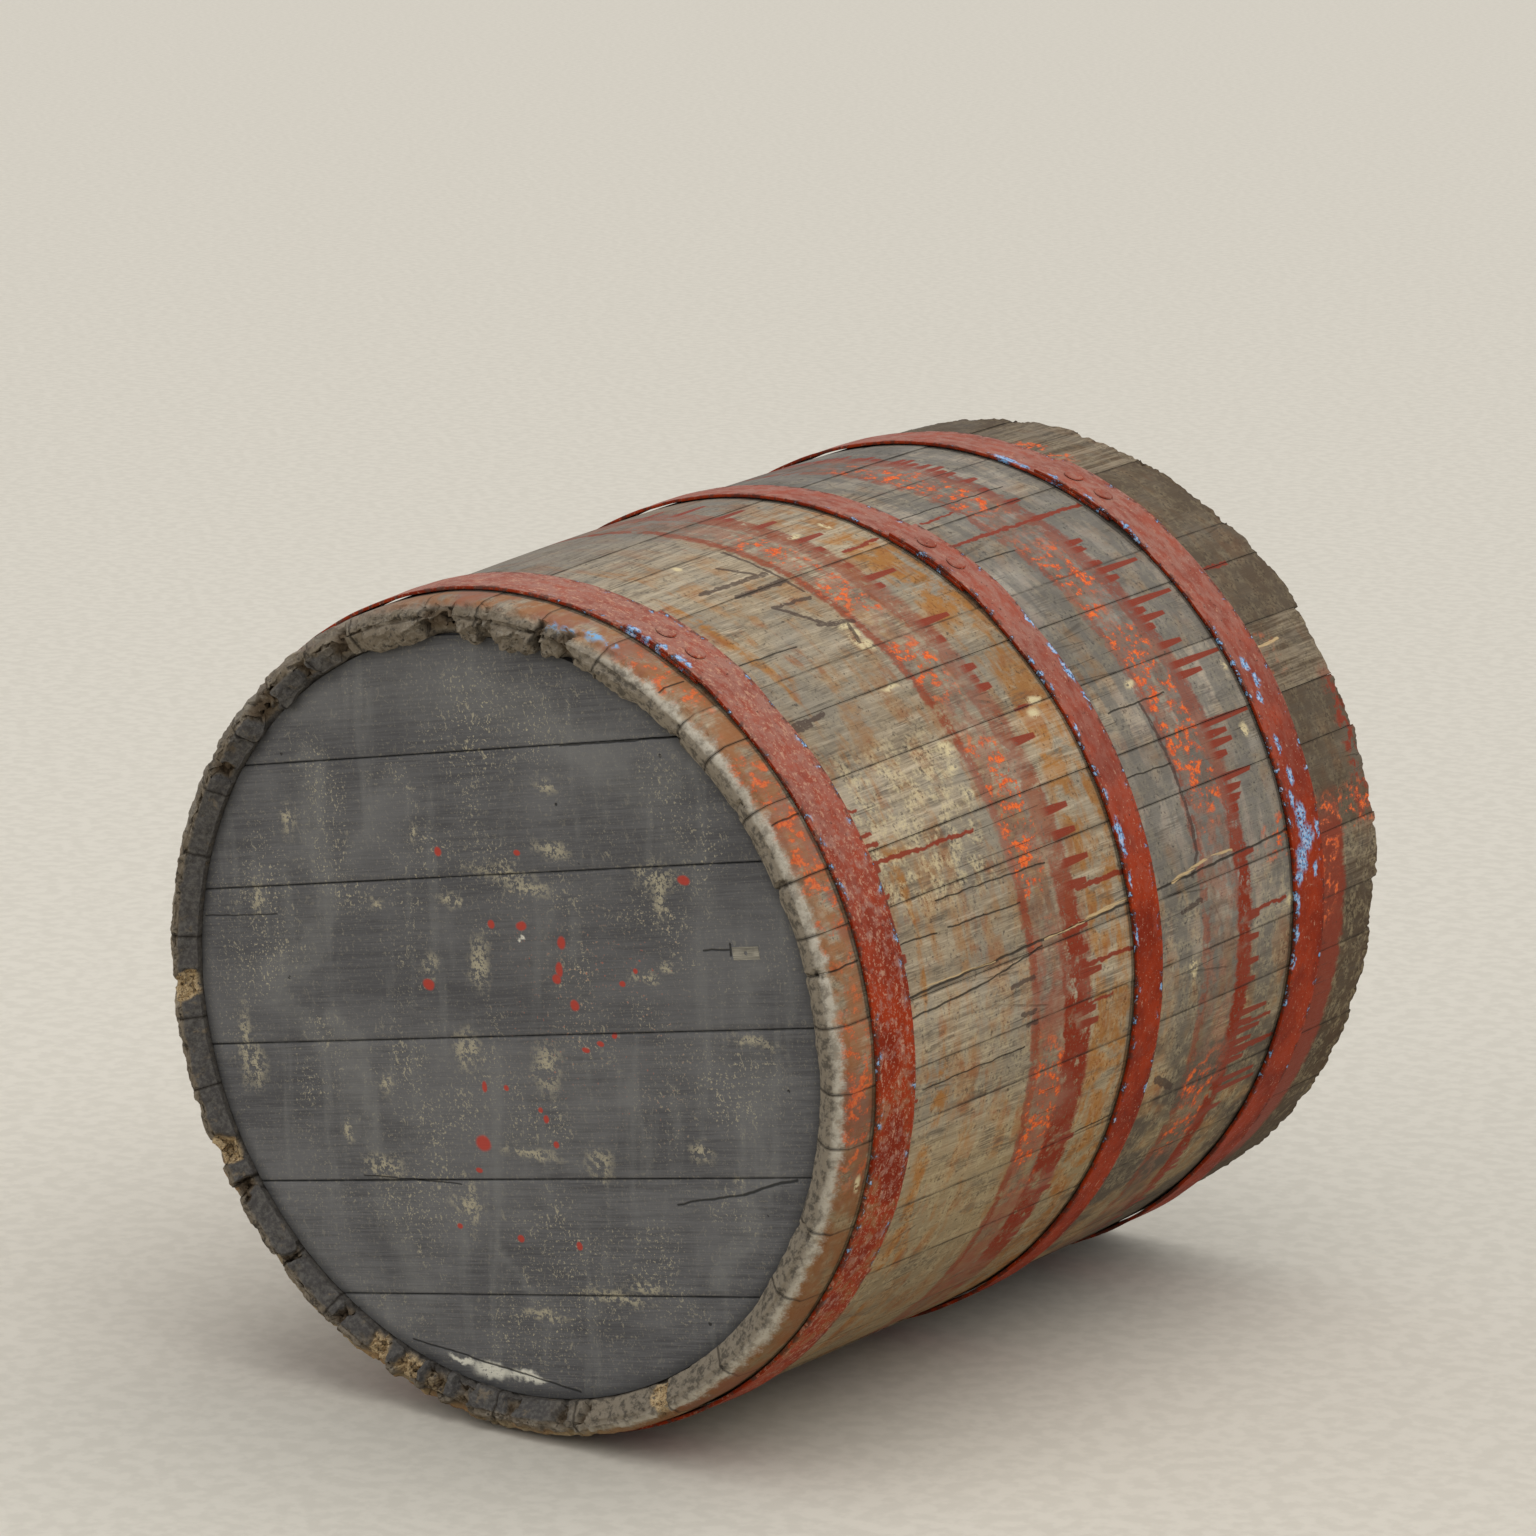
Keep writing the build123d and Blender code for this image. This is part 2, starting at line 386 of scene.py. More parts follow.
stavePaint = {
    "dark": tint(122, 108, 88), "middle": tint(156, 140, 116), "light": tint(190, 174, 148),
    "grey": tint(134, 129, 118), "shadeAndDarkWood": tint(88, 79, 68), "floorBounceTan": tint(154, 132, 90),
    "ochre": tint(160, 108, 52), "rust": tint(140, 78, 42), "sootAndShadow": tint(52, 47, 41),
    "red": tint(130, 48, 26), "fadedRed": tint(142, 92, 74), "orange": tint(232, 112, 50),
    "cream": tint(202, 186, 146), "blue": tint(118, 164, 202), "black": tint(72, 58, 52),
    "rimLight": tint(186, 178, 162), "rimSoft": tint(150, 141, 126),
    "rimMiddle": tint(122, 111, 95),
    "rimDarkAndShade": tint(72, 66, 58), "rimPaint": tint(80, 77, 75), "farShade": tint(80, 67, 53),
    "rot": tint(84, 68, 50), "freshBreak": tint(200, 176, 136), "inside": tint(112, 92, 68),
    "wine": tint(72, 46, 42), "paleGrey": tint(152, 148, 140), "topGrey": tint(112, 109, 104),
    "slate": tint(98, 94, 88), "lowShade": tint(68, 52, 38), "chimeBrown": tint(146, 96, 60),
    "chimeShade": tint(88, 58, 34), "bandBrown": tint(108, 84, 72), "bandRed": tint(138, 66, 46),
    "halo": tint(170, 84, 58), "deepOrange": tint(208, 82, 38), "sliver": tint(190, 164, 122),
    "rimGrey": tint(100, 97, 92), "straw": tint(140, 114, 80), "insideDark": tint(84, 68, 50),
    # dark strokes: angle and along at the start, then at the end, width
    "strokes": [
        (72, 136, 71.5, 208, 4), (69, 158, 69, 214, 4), (72, 200, 76, 184, 3),
        (65, 172, 64.6, 212, 3), (65, 172, 59.5, 196, 3), (59.5, 190, 58.4, 222, 3),
        (46.2, 76, 46.4, 96, 7), (46.4, 94, 46.9, 118, 3), (33, 436, 24, 441, 3),
        (24, 441, 12, 442, 3), (12, 442, 9.5, 430, 3), (5.8, 438, 5.2, 412, 3),
        (4.6, 195, 4.8, 222, 3), (0.4, 206, 0.3, 222, 2.5), (-1.2, 213, -1.2, 224, 2.5),
        (79, 212, 66, 214, 2.5), (58, 214, 55, 208, 3), (-17.5, 398, -20, 424, 5),
    ],
    # cracks: angle and along at the start, then at the end, width
    "cracks": [
        (8.4, 78, 9.6, 420, 1.6), (9.6, 420, 10.4, 582, 1.5), (5.7, 80, 6.4, 160, 1.2),
        (6.4, 160, 8.2, 236, 1.1), (15.3, 78, 15.0, 122, 0.9), (18.9, 130, 18.4, 258, 0.9),
        (15.1, 135, 14.6, 220, 0.9), (58, 82, 57.6, 150, 0.9), (-4.2, 90, -4.0, 210, 0.8),
        (33.4, 395, 33.3, 470, 1.0), (-20.6, 300, -20.4, 344, 1.0), (60.5, 380, 60.3, 440, 0.9),
        (24.6, 378, 24.3, 440, 0.8), (72.8, 380, 72.6, 520, 0.8), (15.2, 2, 15.4, 34, 1.2),
        (35.5, 8, 35.6, 34, 1.0), (59, 6, 58.8, 30, 1.0),
    ],
    # runs of red paint: angle and along at the start, then at the end, width
    "runs": [
        (26.2, 76, 25.8, 130, 4.5), (25.8, 124, 25.6, 194, 3.5), (30.0, 76, 29.8, 90, 3.5),
        (28.4, 76, 28.4, 92, 4), (21.6, 76, 21.5, 84, 4), (33.6, 78, 33.4, 88, 3),
        (-5.4, 76, -5.4, 84, 3.5), (69.6, 76, 69.6, 84, 3.0), (70.2, 296, 70.6, 340, 4),
        (13.6, 288, 13.6, 350, 5), (3.6, 282, 3.4, 350, 4), (38.2, 300, 38.2, 330, 3),
        (70.4, 395, 70.6, 438, 3), (64.6, 376, 64.3, 560, 4.5), (1.6, 498, 1.6, 552, 4),
        (-14.6, 498, -14.6, 548, 4), (-19.2, 498, -18.6, 562, 4), (47.6, 612, 47.4, 642, 4),
        (-2.2, 270, -1.6, 318, 3),
    ],
    # pale slivers that stand off the edges of an open joint
    "slivers": [
        (9.3, 284, 10.0, 346, 2.6), (8.9, 240, 9.2, 290, 1.4), (9.6, 404, 10.9, 452, 2.6),
        (10.9, 452, 10.6, 486, 1.8), (9.0, 96, 8.8, 180, 1.0), (34.6, 604, 34.8, 640, 2.2),
    ],
    # flecks: angle, along, half width round the barrel, half length along it
    "cream flecks": [
        (58, 211, 3, 7), (55, 206, 9, 4), (54, 213, 6, 5), (56.5, 214, 4, 3), (36, 209, 4, 6),
        (34, 203, 3, 5), (37, 207, 3, 6), (30, 207, 3, 5), (77, 284, 2.5, 7), (77, 322, 5, 3),
        (79, 158, 4, 3), (36, 437, 3, 6), (34, 556, 4, 4), (25, 545, 5, 5), (-3, 425, 9, 5),
        (1, 560, 5, 5), (-14, 26, 6, 3), (37, 316, 4, 6), (38.5, 326, 3, 8), (47, 196, 2, 9),
    ],
    "blue flecks": [(78, 6, 5, 4), (75.5, 7, 6, 5), (72, 14, 8, 4), (69, 15, 5, 3)],
}


def staveOak():
    begin("stave_oak", stavePaint)
    paint = stavePaint
    vector, along, angle, radius = barrelCoords()
    fine, broad = oakGrain(vector, 1)
    grain = calc("MULTIPLY_ADD", fine, 0.4, times(broad, 0.6))
    tone, fresh, loss, seam = (own(name) for name in ("tone", "fresh", "loss", "seam"))
    speck = cloud(vector, 330, 3, 0.65)
    blot = cloud(vector, 95, 4, 0.6)
    cloudy = cloud(stretch(vector, (19, 11, 19)), 1.0, 4, 0.6)
    ringed = cloud(stretch(shift(vector, (3, 5, 7)), (16, 52, 16)), 1.0, 4, 0.6)
    patchy = cloud(stretch(shift(vector, (9, 2, 4)), (42, 30, 42)), 1.0, 5, 0.65)

    # bare wood, with painted bounce light and painted shade on its lower side
    ground("dark", "middle", fade(grain, 0.34, 0.52))
    coat("light", fade(grain, 0.48, 0.68))
    coat("grey", fade(cloudy, 0.42, 0.62), 0.6)
    # painted light: the lower side is tinted tan for warm light thrown up from the floor
    coat("floorBounceTan", fade(angle, 5, -30), fade(angle, -165, -110), 0.6)
    stripes = most(between(along, 92, 122, 7), between(along, 292, 346, 8),
                   times(between(along, 128, 160, 8), 0.6), 0.5)
    stained = calc("MULTIPLY_ADD", between(along, 288, 348, 8), 0.07, ringed)
    coat("ochre", fade(stained, 0.44, 0.6), fade(patchy, 0.38, 0.52), stripes, 0.95)
    coat("rust", fade(patchy, 0.54, 0.64), fade(ringed, 0.38, 0.55), 0.5)
    beyond = between(along, 380, 600, 6)
    coat("paleGrey", beyond, fade(angle, -12, 8), fade(cloudy, 0.66, 0.46), 0.7)
    # painted shade: beyond the middle hoop the wood is darkened, lightly above and strongly on the
    # lower side
    far = most(
        times(beyond, fade(angle, -12, 8), 0.35),
        times(beyond, fade(angle, 4, -20), fade(angle, -165, -110), 0.95),
    )
    coat("shadeAndDarkWood", far, fade(cloudy, 0.36, 0.54))
    coat("topGrey", fade(angle, 70, 98), fade(angle, 187, 150), 0.7)
    coat("farShade", fade(along, 600, 612), fade(cloudy, 0.62, 0.38, 0.7, 0.94))
    coat("lowShade", fade(along, 600, 612), fade(angle, 12, -4), fade(angle, -165, -110), 0.5)
    coat("shadeAndDarkWood", fade(tone, 0.5, 1.0), 0.3)
    coat("light", fade(tone, 0.4, 0.0), fade(grain, 0.4, 0.6), 0.3)
    shaded = cloud(stretch(shift(vector, (2, 6, 1)), (60, 24, 60)), 1.0, 4, 0.6)
    coat("shadeAndDarkWood", fade(shaded, 0.5, 0.66), fade(fine, 0.62, 0.42), 0.6)
    slate = times(between(along, 380, 600, 8), between(angle, -12, 120, 10),
                  fade(ringed, 0.58, 0.44))
    coat("slate", slate, 0.6)
    coat("sootAndShadow", fade(speck, 0.44, 0.32), fade(blot, 0.38, 0.6), 0.6)
    creamField = times(between(along, 80, 205, 8), between(angle, 18, 40, 4))
    creamField = most(times(creamField, 0.9), times(between(angle, -40, 8, 4), 0.35), 0.14)
    worn = times(fade(blot, 0.42, 0.62), fade(speck, 0.38, 0.6), creamField)
    coat("cream", worn, 0.75)

    # marks that were left by hoops which have gone, and paint that has run from them
    ragged = calc("MULTIPLY_ADD", calc("SUBTRACT", blot, 0.5), 13.0, along)
    ragged = calc("MULTIPLY_ADD", calc("SUBTRACT", fine, 0.5), 7.0, ragged)
    bandHere = times(fade(angle, -60, -35), fade(angle, 186, 160))
    chime = times(fade(ragged, 36, 30), fade(radius, 292, 298), between(angle, -72, 106, 10))
    coat("chimeBrown", chime, fade(patchy, 0.34, 0.56), 0.8)
    coat("fadedRed", chime, fade(cloudy, 0.52, 0.62), 0.7)
    coat("chimeShade", chime, fade(angle, 8, -4), 0.35)
    between1 = between(ragged, 224, 260, 3)
    between2 = between(ragged, 446, 487, 3)
    where = times(most(between1, between2), fade(blot, 0.38, 0.56), 0.56)
    coat(mix(fade(patchy, 0.42, 0.56), paint["fadedRed"], paint["bandBrown"]), where)
    coat("bandRed", between1, fade(angle, 14, 4), fade(patchy, 0.6, 0.44), 0.5)
    thin1 = times(between(ragged, 218, 227, 2), 0.75)
    thin2 = times(between(ragged, 438, 448, 2), fade(blot, 0.4, 0.52), 0.6)
    wide1 = most(between(ragged, 262, 285, 2.5),
                 times(between(ragged, 257, 292, 2.5), fade(angle, 14, 2)))
    wide2 = between(ragged, 486, 505, 2.5)
    solid = calc("MULTIPLY_ADD", fade(patchy, 0.34, 0.5), 0.6, 0.4)
    comb = most(times(between(angle, 18, 56, 3), 1.0), times(between(angle, -28, -10, 3), 0.9),
                0.25)
    run1 = drips(along, angle, 270, 284, 34.0, 9.0, 5.0, 0.45,
                 calc("MULTIPLY_ADD", fade(angle, -50, 60), 0.6, 0.4))
    run2 = drips(along, angle, 490, 503, 62.0, 8.0, 19.0, 0.2, comb)
    run3 = drips(along, angle, 60, 77, 14.0, 11.0, 31.0, 0.72, fade(angle, -60, -20))
    smear = times(between(ragged, 604, 640, 4), between(angle, -45, 11, 4), 0.95)
    tipRed = times(between(ragged, 668, 688, 6), between(angle, 8, 28, 3),
                   fade(blot, 0.45, 0.55))
    roundMap(vector, along, angle, 130.0, 6.0, "plane")  # each stave's own marks are drawn on it
    weathered = fade(angle, 4, 24, 1.0, 0.62)
    faded = most(thin1, thin2, times(most(wide1, wide2), solid, weathered))
    faded = times(faded, bandHere)
    dried = mix(fade(cloudy, 0.46, 0.68), paint["red"], paint["fadedRed"])
    coat(dried, faded, fade(speck, 0.3, 0.44), fade(blot, 0.3, 0.42))
    wet = most(run1, run2, run3, smear, tipRed, opening("runs"))
    wet = times(wet, fade(speck, 0.26, 0.36))
    coat("red", wet, 0.95)

    # flecks of older paint
    flake = cloud(stretch(vector, (118, 84, 118)), 1.0, 5, 0.7)
    flake = calc("MULTIPLY_ADD", calc("SUBTRACT", speck, 0.5), 0.22, flake)
    bands = most(
        times(between1, most(between(angle, 44, 80, 4), between(angle, 8, 36, 3),
                             between(angle, -26, -4, 3))),
        times(between2, most(between(angle, 68, 92, 4), between(angle, 14, 60, 4),
                             between(angle, -32, -18, 3))),
        times(chime, between(angle, -12, 66, 5), 0.62),
        times(between(ragged, 606, 632, 3), most(
            between(angle, 74, 82, 2), between(angle, 30, 36, 2),
            between(angle, -4, 12, 2))),
        times(between(angle, 7.5, 12.5, 1.5), fade(along, 500, 560)),
    )
    halo = times(fade(flake, 0.48, 0.56), bands, fade(cloudy, 0.36, 0.5), 0.7)
    coat("halo", halo)
    orange = times(fade(flake, 0.545, 0.59), bands, fade(cloudy, 0.36, 0.5))
    where = times(orange, 0.95)
    coat(mix(fade(speck, 0.4, 0.56), paint["deepOrange"], paint["orange"]), where)
    coat("cream", opening("cream"), fade(flake, 0.43, 0.48))
    coat("blue", opening("blue"), fade(flake, 0.44, 0.5))

    # painted shadows along the hoop edges, strokes and cracks
    # painted shadow: thin dark lines on the staves just before and after each hoop, where the hoop
    # shades the wood
    shadows = gather(
        most(between(along, start - 1.8, start, 0.8),
             times(between(along, end, end + 2, 1.2), 0.5))
        for start, end in ((34, 76), (344, 378), (562, 604))
    )
    coat("sootAndShadow", shadows, 0.6)
    coat("black", opening("strokes"), fade(speck, 0.3, 0.44), 0.8)
    roundMap(vector, along, angle, 60.0, 3.5, "calm")
    split = cells(stretch(vector, (62, 4.2, 62)), 1.0, "DISTANCE_TO_EDGE")
    split = times(fade(split, 0.024, 0.006), fade(cloudy, 0.52, 0.64), fade(along, 30, 60))
    cracked = most(times(split, 0.4), opening("cracks"))
    coat("sootAndShadow", cracked, 0.9)
    coat("sootAndShadow", fade(seam, 0.78, 1.0), fade(patchy, 0.4, 0.6, 0.2, 0.6))
    coat("sliver", opening("slivers"), fade(fine, 0.36, 0.5))

    # the rim's end grain, with its breaks, paler on its right side partly through painted light
    rimHere = most(fade(ragged, 9, 3), times(fade(radius, 296, 291), fade(along, 24, 21)))
    pitted = cells(vector, 210)
    crumb = cloud(vector, 170, 5, 0.7)
    # the rim's right side is painted paler and smoother, partly paler wood and partly painted light
    # with a painted highlight along its crest; the left side is painted darker, partly as painted
    # shade
    litPaleSide = between(angle, -78, 70, 10)
    rim = mix(fade(crumb, 0.36, 0.52), paint["rimDarkAndShade"], paint["rimMiddle"])
    rim = mix(times(fade(speck, 0.46, 0.6), fade(blot, 0.42, 0.6), 0.6), rim, paint["rimSoft"])
    smooth = mix(fade(crumb, 0.36, 0.56), paint["rimSoft"], paint["rimLight"])
    innerBand = fade(calc("MULTIPLY_ADD", blot, 9.0, radius), 299, 293)
    smooth = mix(times(innerBand, 0.85), smooth,
                 mix(fade(crumb, 0.4, 0.54), paint["rimDarkAndShade"], paint["rimMiddle"]))
    rim = mix(litPaleSide, rim, smooth)
    pits = calc("MULTIPLY_ADD", litPaleSide, -0.6, 0.85)
    rim = mix(times(fade(pitted, 0.3, 0.1), fade(blot, 0.45, 0.58), pits), rim, paint["sootAndShadow"])
    painted = times(fade(radius, 288, 285), most(fade(angle, 112, 122), fade(angle, -74, -84)))
    painted = times(painted, fade(loss, 0.75, 0.4), fade(blot, 0.3, 0.42))
    rim = mix(painted, rim, mix(fade(speck, 0.4, 0.64), paint["rimPaint"], paint["rimGrey"]))
    rim = mix(times(fade(loss, 0.35, 1.0), 0.75), rim, paint["rot"])
    # painted shade: the chime wall inside the rim, 9 to 14 mm along, is darkened
    rim = mix(times(fade(along, 9, 14), fade(radius, 280, 276), 0.5), rim, paint["rimDarkAndShade"])
    rim = mix(times(fade(seam, 0.6, 1.0), 0.6), rim, paint["sootAndShadow"])
    straw = mix(fade(fine, 0.36, 0.54), paint["straw"], paint["freshBreak"])
    rim = mix(times(fade(fresh, 0.2, 0.6), fade(speck, 0.34, 0.5)), rim, straw)
    coat(rim, rimHere)

    # the inside
    inner = times(fade(radius, 304, 302), fade(along, 23, 25))
    inner = times(inner, fade(calc("MULTIPLY_ADD", along, -0.0316, radius), 296, 293))
    insideColor = mix(fade(grain, 0.38, 0.62), paint["insideDark"], paint["inside"])
    insideColor = mix(times(fade(cloudy, 0.4, 0.6), fade(along, 640, 380), 0.7), insideColor,
                      paint["wine"])
    coat(insideColor, inner)

    height = calc("MULTIPLY_ADD", fine, 0.35, times(broad, 0.25))
    height = calc("MULTIPLY_ADD", speck, 0.16, height)
    height = calc("MULTIPLY_ADD", cracked, -1.0, height)
    height = calc("MULTIPLY_ADD", times(crumb, rimHere, fade(litPaleSide, 0.0, 1.0, 2.2, 0.8)), 1.0,
                  height)
    roughness = mix(wet, even(0.86), even(0.55))
    return finish(roughness, height, 0.0011, 0.12)


def markStave(base, name, start, end):
    # a stave's own copy of the oak recipe, with only the marks that fall on that stave
    take(base.copy(), "oak_" + name)
    plane, calm = (mixing["tree"].nodes[drawn].outputs[0] for drawn in ("plane", "calm"))
    width = end - start

    def here(places, columns, margin=1.1):
        return [place for place in places if any(
            -margin < wrap(place[c] - start - width / 2) + width / 2 < width + margin
            for c in columns
        )]

    fill("runs", strokes(plane, here(stavePaint["runs"], (0, 2)), 0.8))
    fill("strokes", strokes(plane, here(stavePaint["strokes"], (0, 2)), 1.3))
    fill("cracks", strokes(calm, here(stavePaint["cracks"], (0, 2), 0.6)))
    fill("slivers", strokes(calm, here(stavePaint["slivers"], (0, 2), 0.6)))
    for kind in ("cream", "blue"):
        flecks = here(stavePaint[kind + " flecks"], (0,))
        flecks = [(a * barrel["arcPerDegree"], b, c, d) for a, b, c, d in flecks]
        fill(kind, spots(plane, flecks, 0.55))
    return mixing["material"]


def levelWith(vector):
    # turned so that the head boards lie level
    inputs = {"Vector": vector, "Rotation": (0, radians(barrel["boardRoll"]), 0)}
    return put("Mapping", inputs).outputs[0]


headPaint = {
    "dark": tint(76, 75, 76), "middle": tint(98, 97, 97), "light": tint(114, 113, 112),
    "haze": tint(128, 127, 123), "cream": tint(172, 163, 138), "red": tint(176, 58, 42),
    "white": tint(214, 210, 194), "black": tint(34, 34, 33),
    # marks on the head in millimetres, from its middle: x, z, half width, half height
    "red spots": [
        (-63, 18, 5, 4), (22, 72, 4, 3.5), (-19, -92, 6.5, 5.5), (67, 21, 4, 4), (57, 65, 3.5, 5),
        (54, 45, 3, 5), (51, 38, 3.5, 3.5), (12, -157, 3, 2.5), (-4, 70, 3, 3), (46, -83, 2.5, 2.5),
        (38, -66, 2.5, 3), (33, -60, 2, 2), (75, -10, 3, 2), (88, -4, 3, 2), (100, 4, 2.5, 2),
        (108, 42, 2.5, 2), (162, 123, 5, 3), (-50, 116, 3, 3), (20, 124, 3, 2), (-24, -112, 3, 2),
        (-43, -157, 2.5, 2), (64, -153, 2.5, 3), (120, 54, 2, 2), (-16, -50, 2, 4), (4, -48, 2, 2),
    ],
    "cream spots": [
        (-236, -52, 5, 24), (-226, -66, 8, 14), (-30, -26, 9, 12), (-112, -125, 16, 7),
        (84, -92, 9, 10), (138, 122, 14, 8), (142, 110, 5, 16), (-38, 82, 10, 4), (6, 108, 22, 5),
        (28, 100, 16, 4), (48, 174, 8, 5), (-70, 126, 3, 6), (-107, 70, 5, 4), (50, 130, 12, 5),
        (128, 50, 10, 3), (148, 60, 6, 3), (172, -68, 8, 6), (40, -28, 10, 16), (-16, 40, 8, 14),
        (-106, -62, 4, 6), (22, -92, 20, 4), (96, -186, 24, 4), (30, -210, 18, 3),
        (-218, 62, 5, 12), (-186, 122, 5, 10), (216, 18, 16, 3), (-30, -140, 3, 14),
        (204, -84, 5, 4),
        (-142, -100, 3, 10), (-60, 30, 6, 8), (-36, -140, 12, 4), (120, -175, 14, 4),
    ],
    "white spots": [(-18, -261, 16, 6), (12, -260, 18, 4), (-44, -257, 12, 2.5), (22, 64, 2, 2)],
    # cracks: x and z at the start, then at the end, width
    "cracks": [
        (150, -109, 205, -92, 1.4), (205, -92, 250, -74, 1.8), (178, 76, 212, 82, 1.2),
        (-268, 40, -200, 50, 0.8), (-130, -134, -40, -126, 0.8), (60, 204, 160, 222, 0.8),
        (-90, -250, 60, -262, 1.2), (200, 76, 200, 84, 1.5),
    ],
    # pale tide marks: points that a soft line runs through, half width, strength
    "tides": [
        ([(-165, 165), (-160, 110), (-156, 60), (-178, 24), (-204, 14)], 13, 0.75),
        ([(-204, 14), (-205, -8), (-172, -26), (-142, -44), (-136, -80), (-136, -105)], 12, 0.6),
        ([(-155, -20), (-132, -40), (-122, -70), (-118, -110)], 7, 0.9),
        ([(-40, 238), (40, 225), (90, 205), (120, 180), (150, 190)], 16, 0.65),
        ([(-260, 200), (-170, 210), (-60, 232), (0, 230)], 22, 0.35),
        ([(215, 60), (214, 20), (222, -20), (212, -60)], 13, 0.5),
        ([(210, -100), (196, -130), (184, -160)], 11, 0.7),
        ([(-112, -150), (-96, -180), (-78, -212)], 12, 0.6),
        ([(150, 150), (172, 130), (190, 100)], 12, 0.45),
        ([(-4, -166), (22, -196)], 4, 0.9),
        ([(-84, 160), (-112, 120), (-138, 92)], 8, 0.35),
        ([(0, -80), (60, -92)], 9, 0.5),
        ([(60, 40), (70, -80)], 22, 0.3),
        ([(-220, -180), (-150, -215), (-60, -240)], 20, 0.4),
    ],
}


def boardOak():
    begin("head_board_oak", headPaint)
    paint = headPaint
    vector, along, angle, radius = barrelCoords()
    level = levelWith(vector)
    fine, broad = oakGrain(level, 0)
    tone, seam, haze = (own(name) for name in ("tone", "seam", "haze"))
    speck = cloud(level, 420, 3, 0.7)
    blot = cloud(level, 70, 4, 0.6)
    cloudy = cloud(stretch(level, (9, 9, 14)), 1.0, 4, 0.6)
    upright = cloud(stretch(vector, (48, 5, 8)), 1.0, 4, 0.6)
    grain = calc("MULTIPLY_ADD", fine, 0.55, times(broad, 0.45))
    ground("dark", "middle", fade(grain, 0.36, 0.62))
    coat("light", fade(cloudy, 0.42, 0.66), 0.6)
    coat("dark", fade(cloudy, 0.46, 0.3), 0.5)
    coat("haze", fade(upright, 0.52, 0.7), 0.35)
    coat("dark", fade(tone, 0.0, 1.0), 0.25)
    crisp = fade(calc("MULTIPLY_ADD", calc("SUBTRACT", blot, 0.5), 0.5, haze), 0.22, 0.62)
    coat("haze", most(times(haze, 0.5), times(crisp, 0.36)),
         calc("MULTIPLY_ADD", fade(blot, 0.3, 0.6), 0.4, 0.5))
    # worn flecks and scratches, thicker in some fields than in others
    field = fade(cloud(shift(level, (4, 0, 9)), 17, 3, 0.6), 0.44, 0.66)
    field = times(field, fade(radius, 285, 215))
    scratch = cloud(stretch(vector, (230, 60, 150)), 1.0, 5, 0.75, 1.2)
    fleck = most(times(fade(speck, 0.59, 0.63), 0.9), times(fade(scratch, 0.59, 0.63), 0.8))
    coat("cream", fleck, calc("MULTIPLY_ADD", field, 0.8, 0.22))
    place = put("SeparateXYZ", {0: vector})
    wander = scatter(vector, 110.0, 4.0)
    plane = flatMap(times(place.outputs[0], 1000.0), times(place.outputs[2], 1000.0), wander, 14.0)
    torn = cloud(shift(level, (6, 1, 2)), 190, 5, 0.7)
    patches = times(spots(plane, paint["cream spots"], 0.9), fade(torn, 0.47, 0.51),
                    fade(speck, 0.4, 0.47))
    coat("cream", patches, 0.9)
    coat("white", spots(plane, paint["white spots"], 0.4), fade(speck, 0.3, 0.45))
    flow = scatter(vector, 50.0)
    calm = flatMap(times(place.outputs[0], 1000.0), times(place.outputs[2], 1000.0), flow, 4.0,
                   "calm")
    drops = spots(calm, paint["red spots"], 0.25)
    mist = times(between(place.outputs[0], 0.01, 0.16, 0.04),
                 between(place.outputs[2], -0.06, 0.08, 0.04), fade(speck, 0.66, 0.69))
    coat("red", most(drops, mist), 0.9)
    lines = strokes(calm, paint["cracks"], 1.0, 1.0)
    holes = cells(stretch(level, (1, 0, 1)), 26)
    holes = times(fade(holes, 0.045, 0.03), fade(blot, 0.5, 0.55))
    cracked = most(holes, lines)
    coat("black", cracked, 0.9)
    coat("black", fade(seam, 0.8, 1.0), fade(blot, 0.3, 0.55, 0.25, 0.65))
    # painted shade: the head's outer edge, in the recess inside the rim, is darkened
    edge = times(fade(radius, 262, 275), fade(along, 24, 20))
    coat("black", edge, 0.6)
    where = times(fade(along, 30, 34), 0.85)
    coat(mix(fade(grain, 0.38, 0.62), stavePaint["wine"], stavePaint["inside"]), where)
    height = calc("MULTIPLY_ADD", fine, 0.4, times(broad, 0.3))
    height = calc("MULTIPLY_ADD", speck, 0.12, height)
    height = calc("MULTIPLY_ADD", cracked, -1.0, height)
    height = calc("MULTIPLY_ADD", most(patches, drops), 0.12, height)
    return finish(0.8, height, 0.0007)


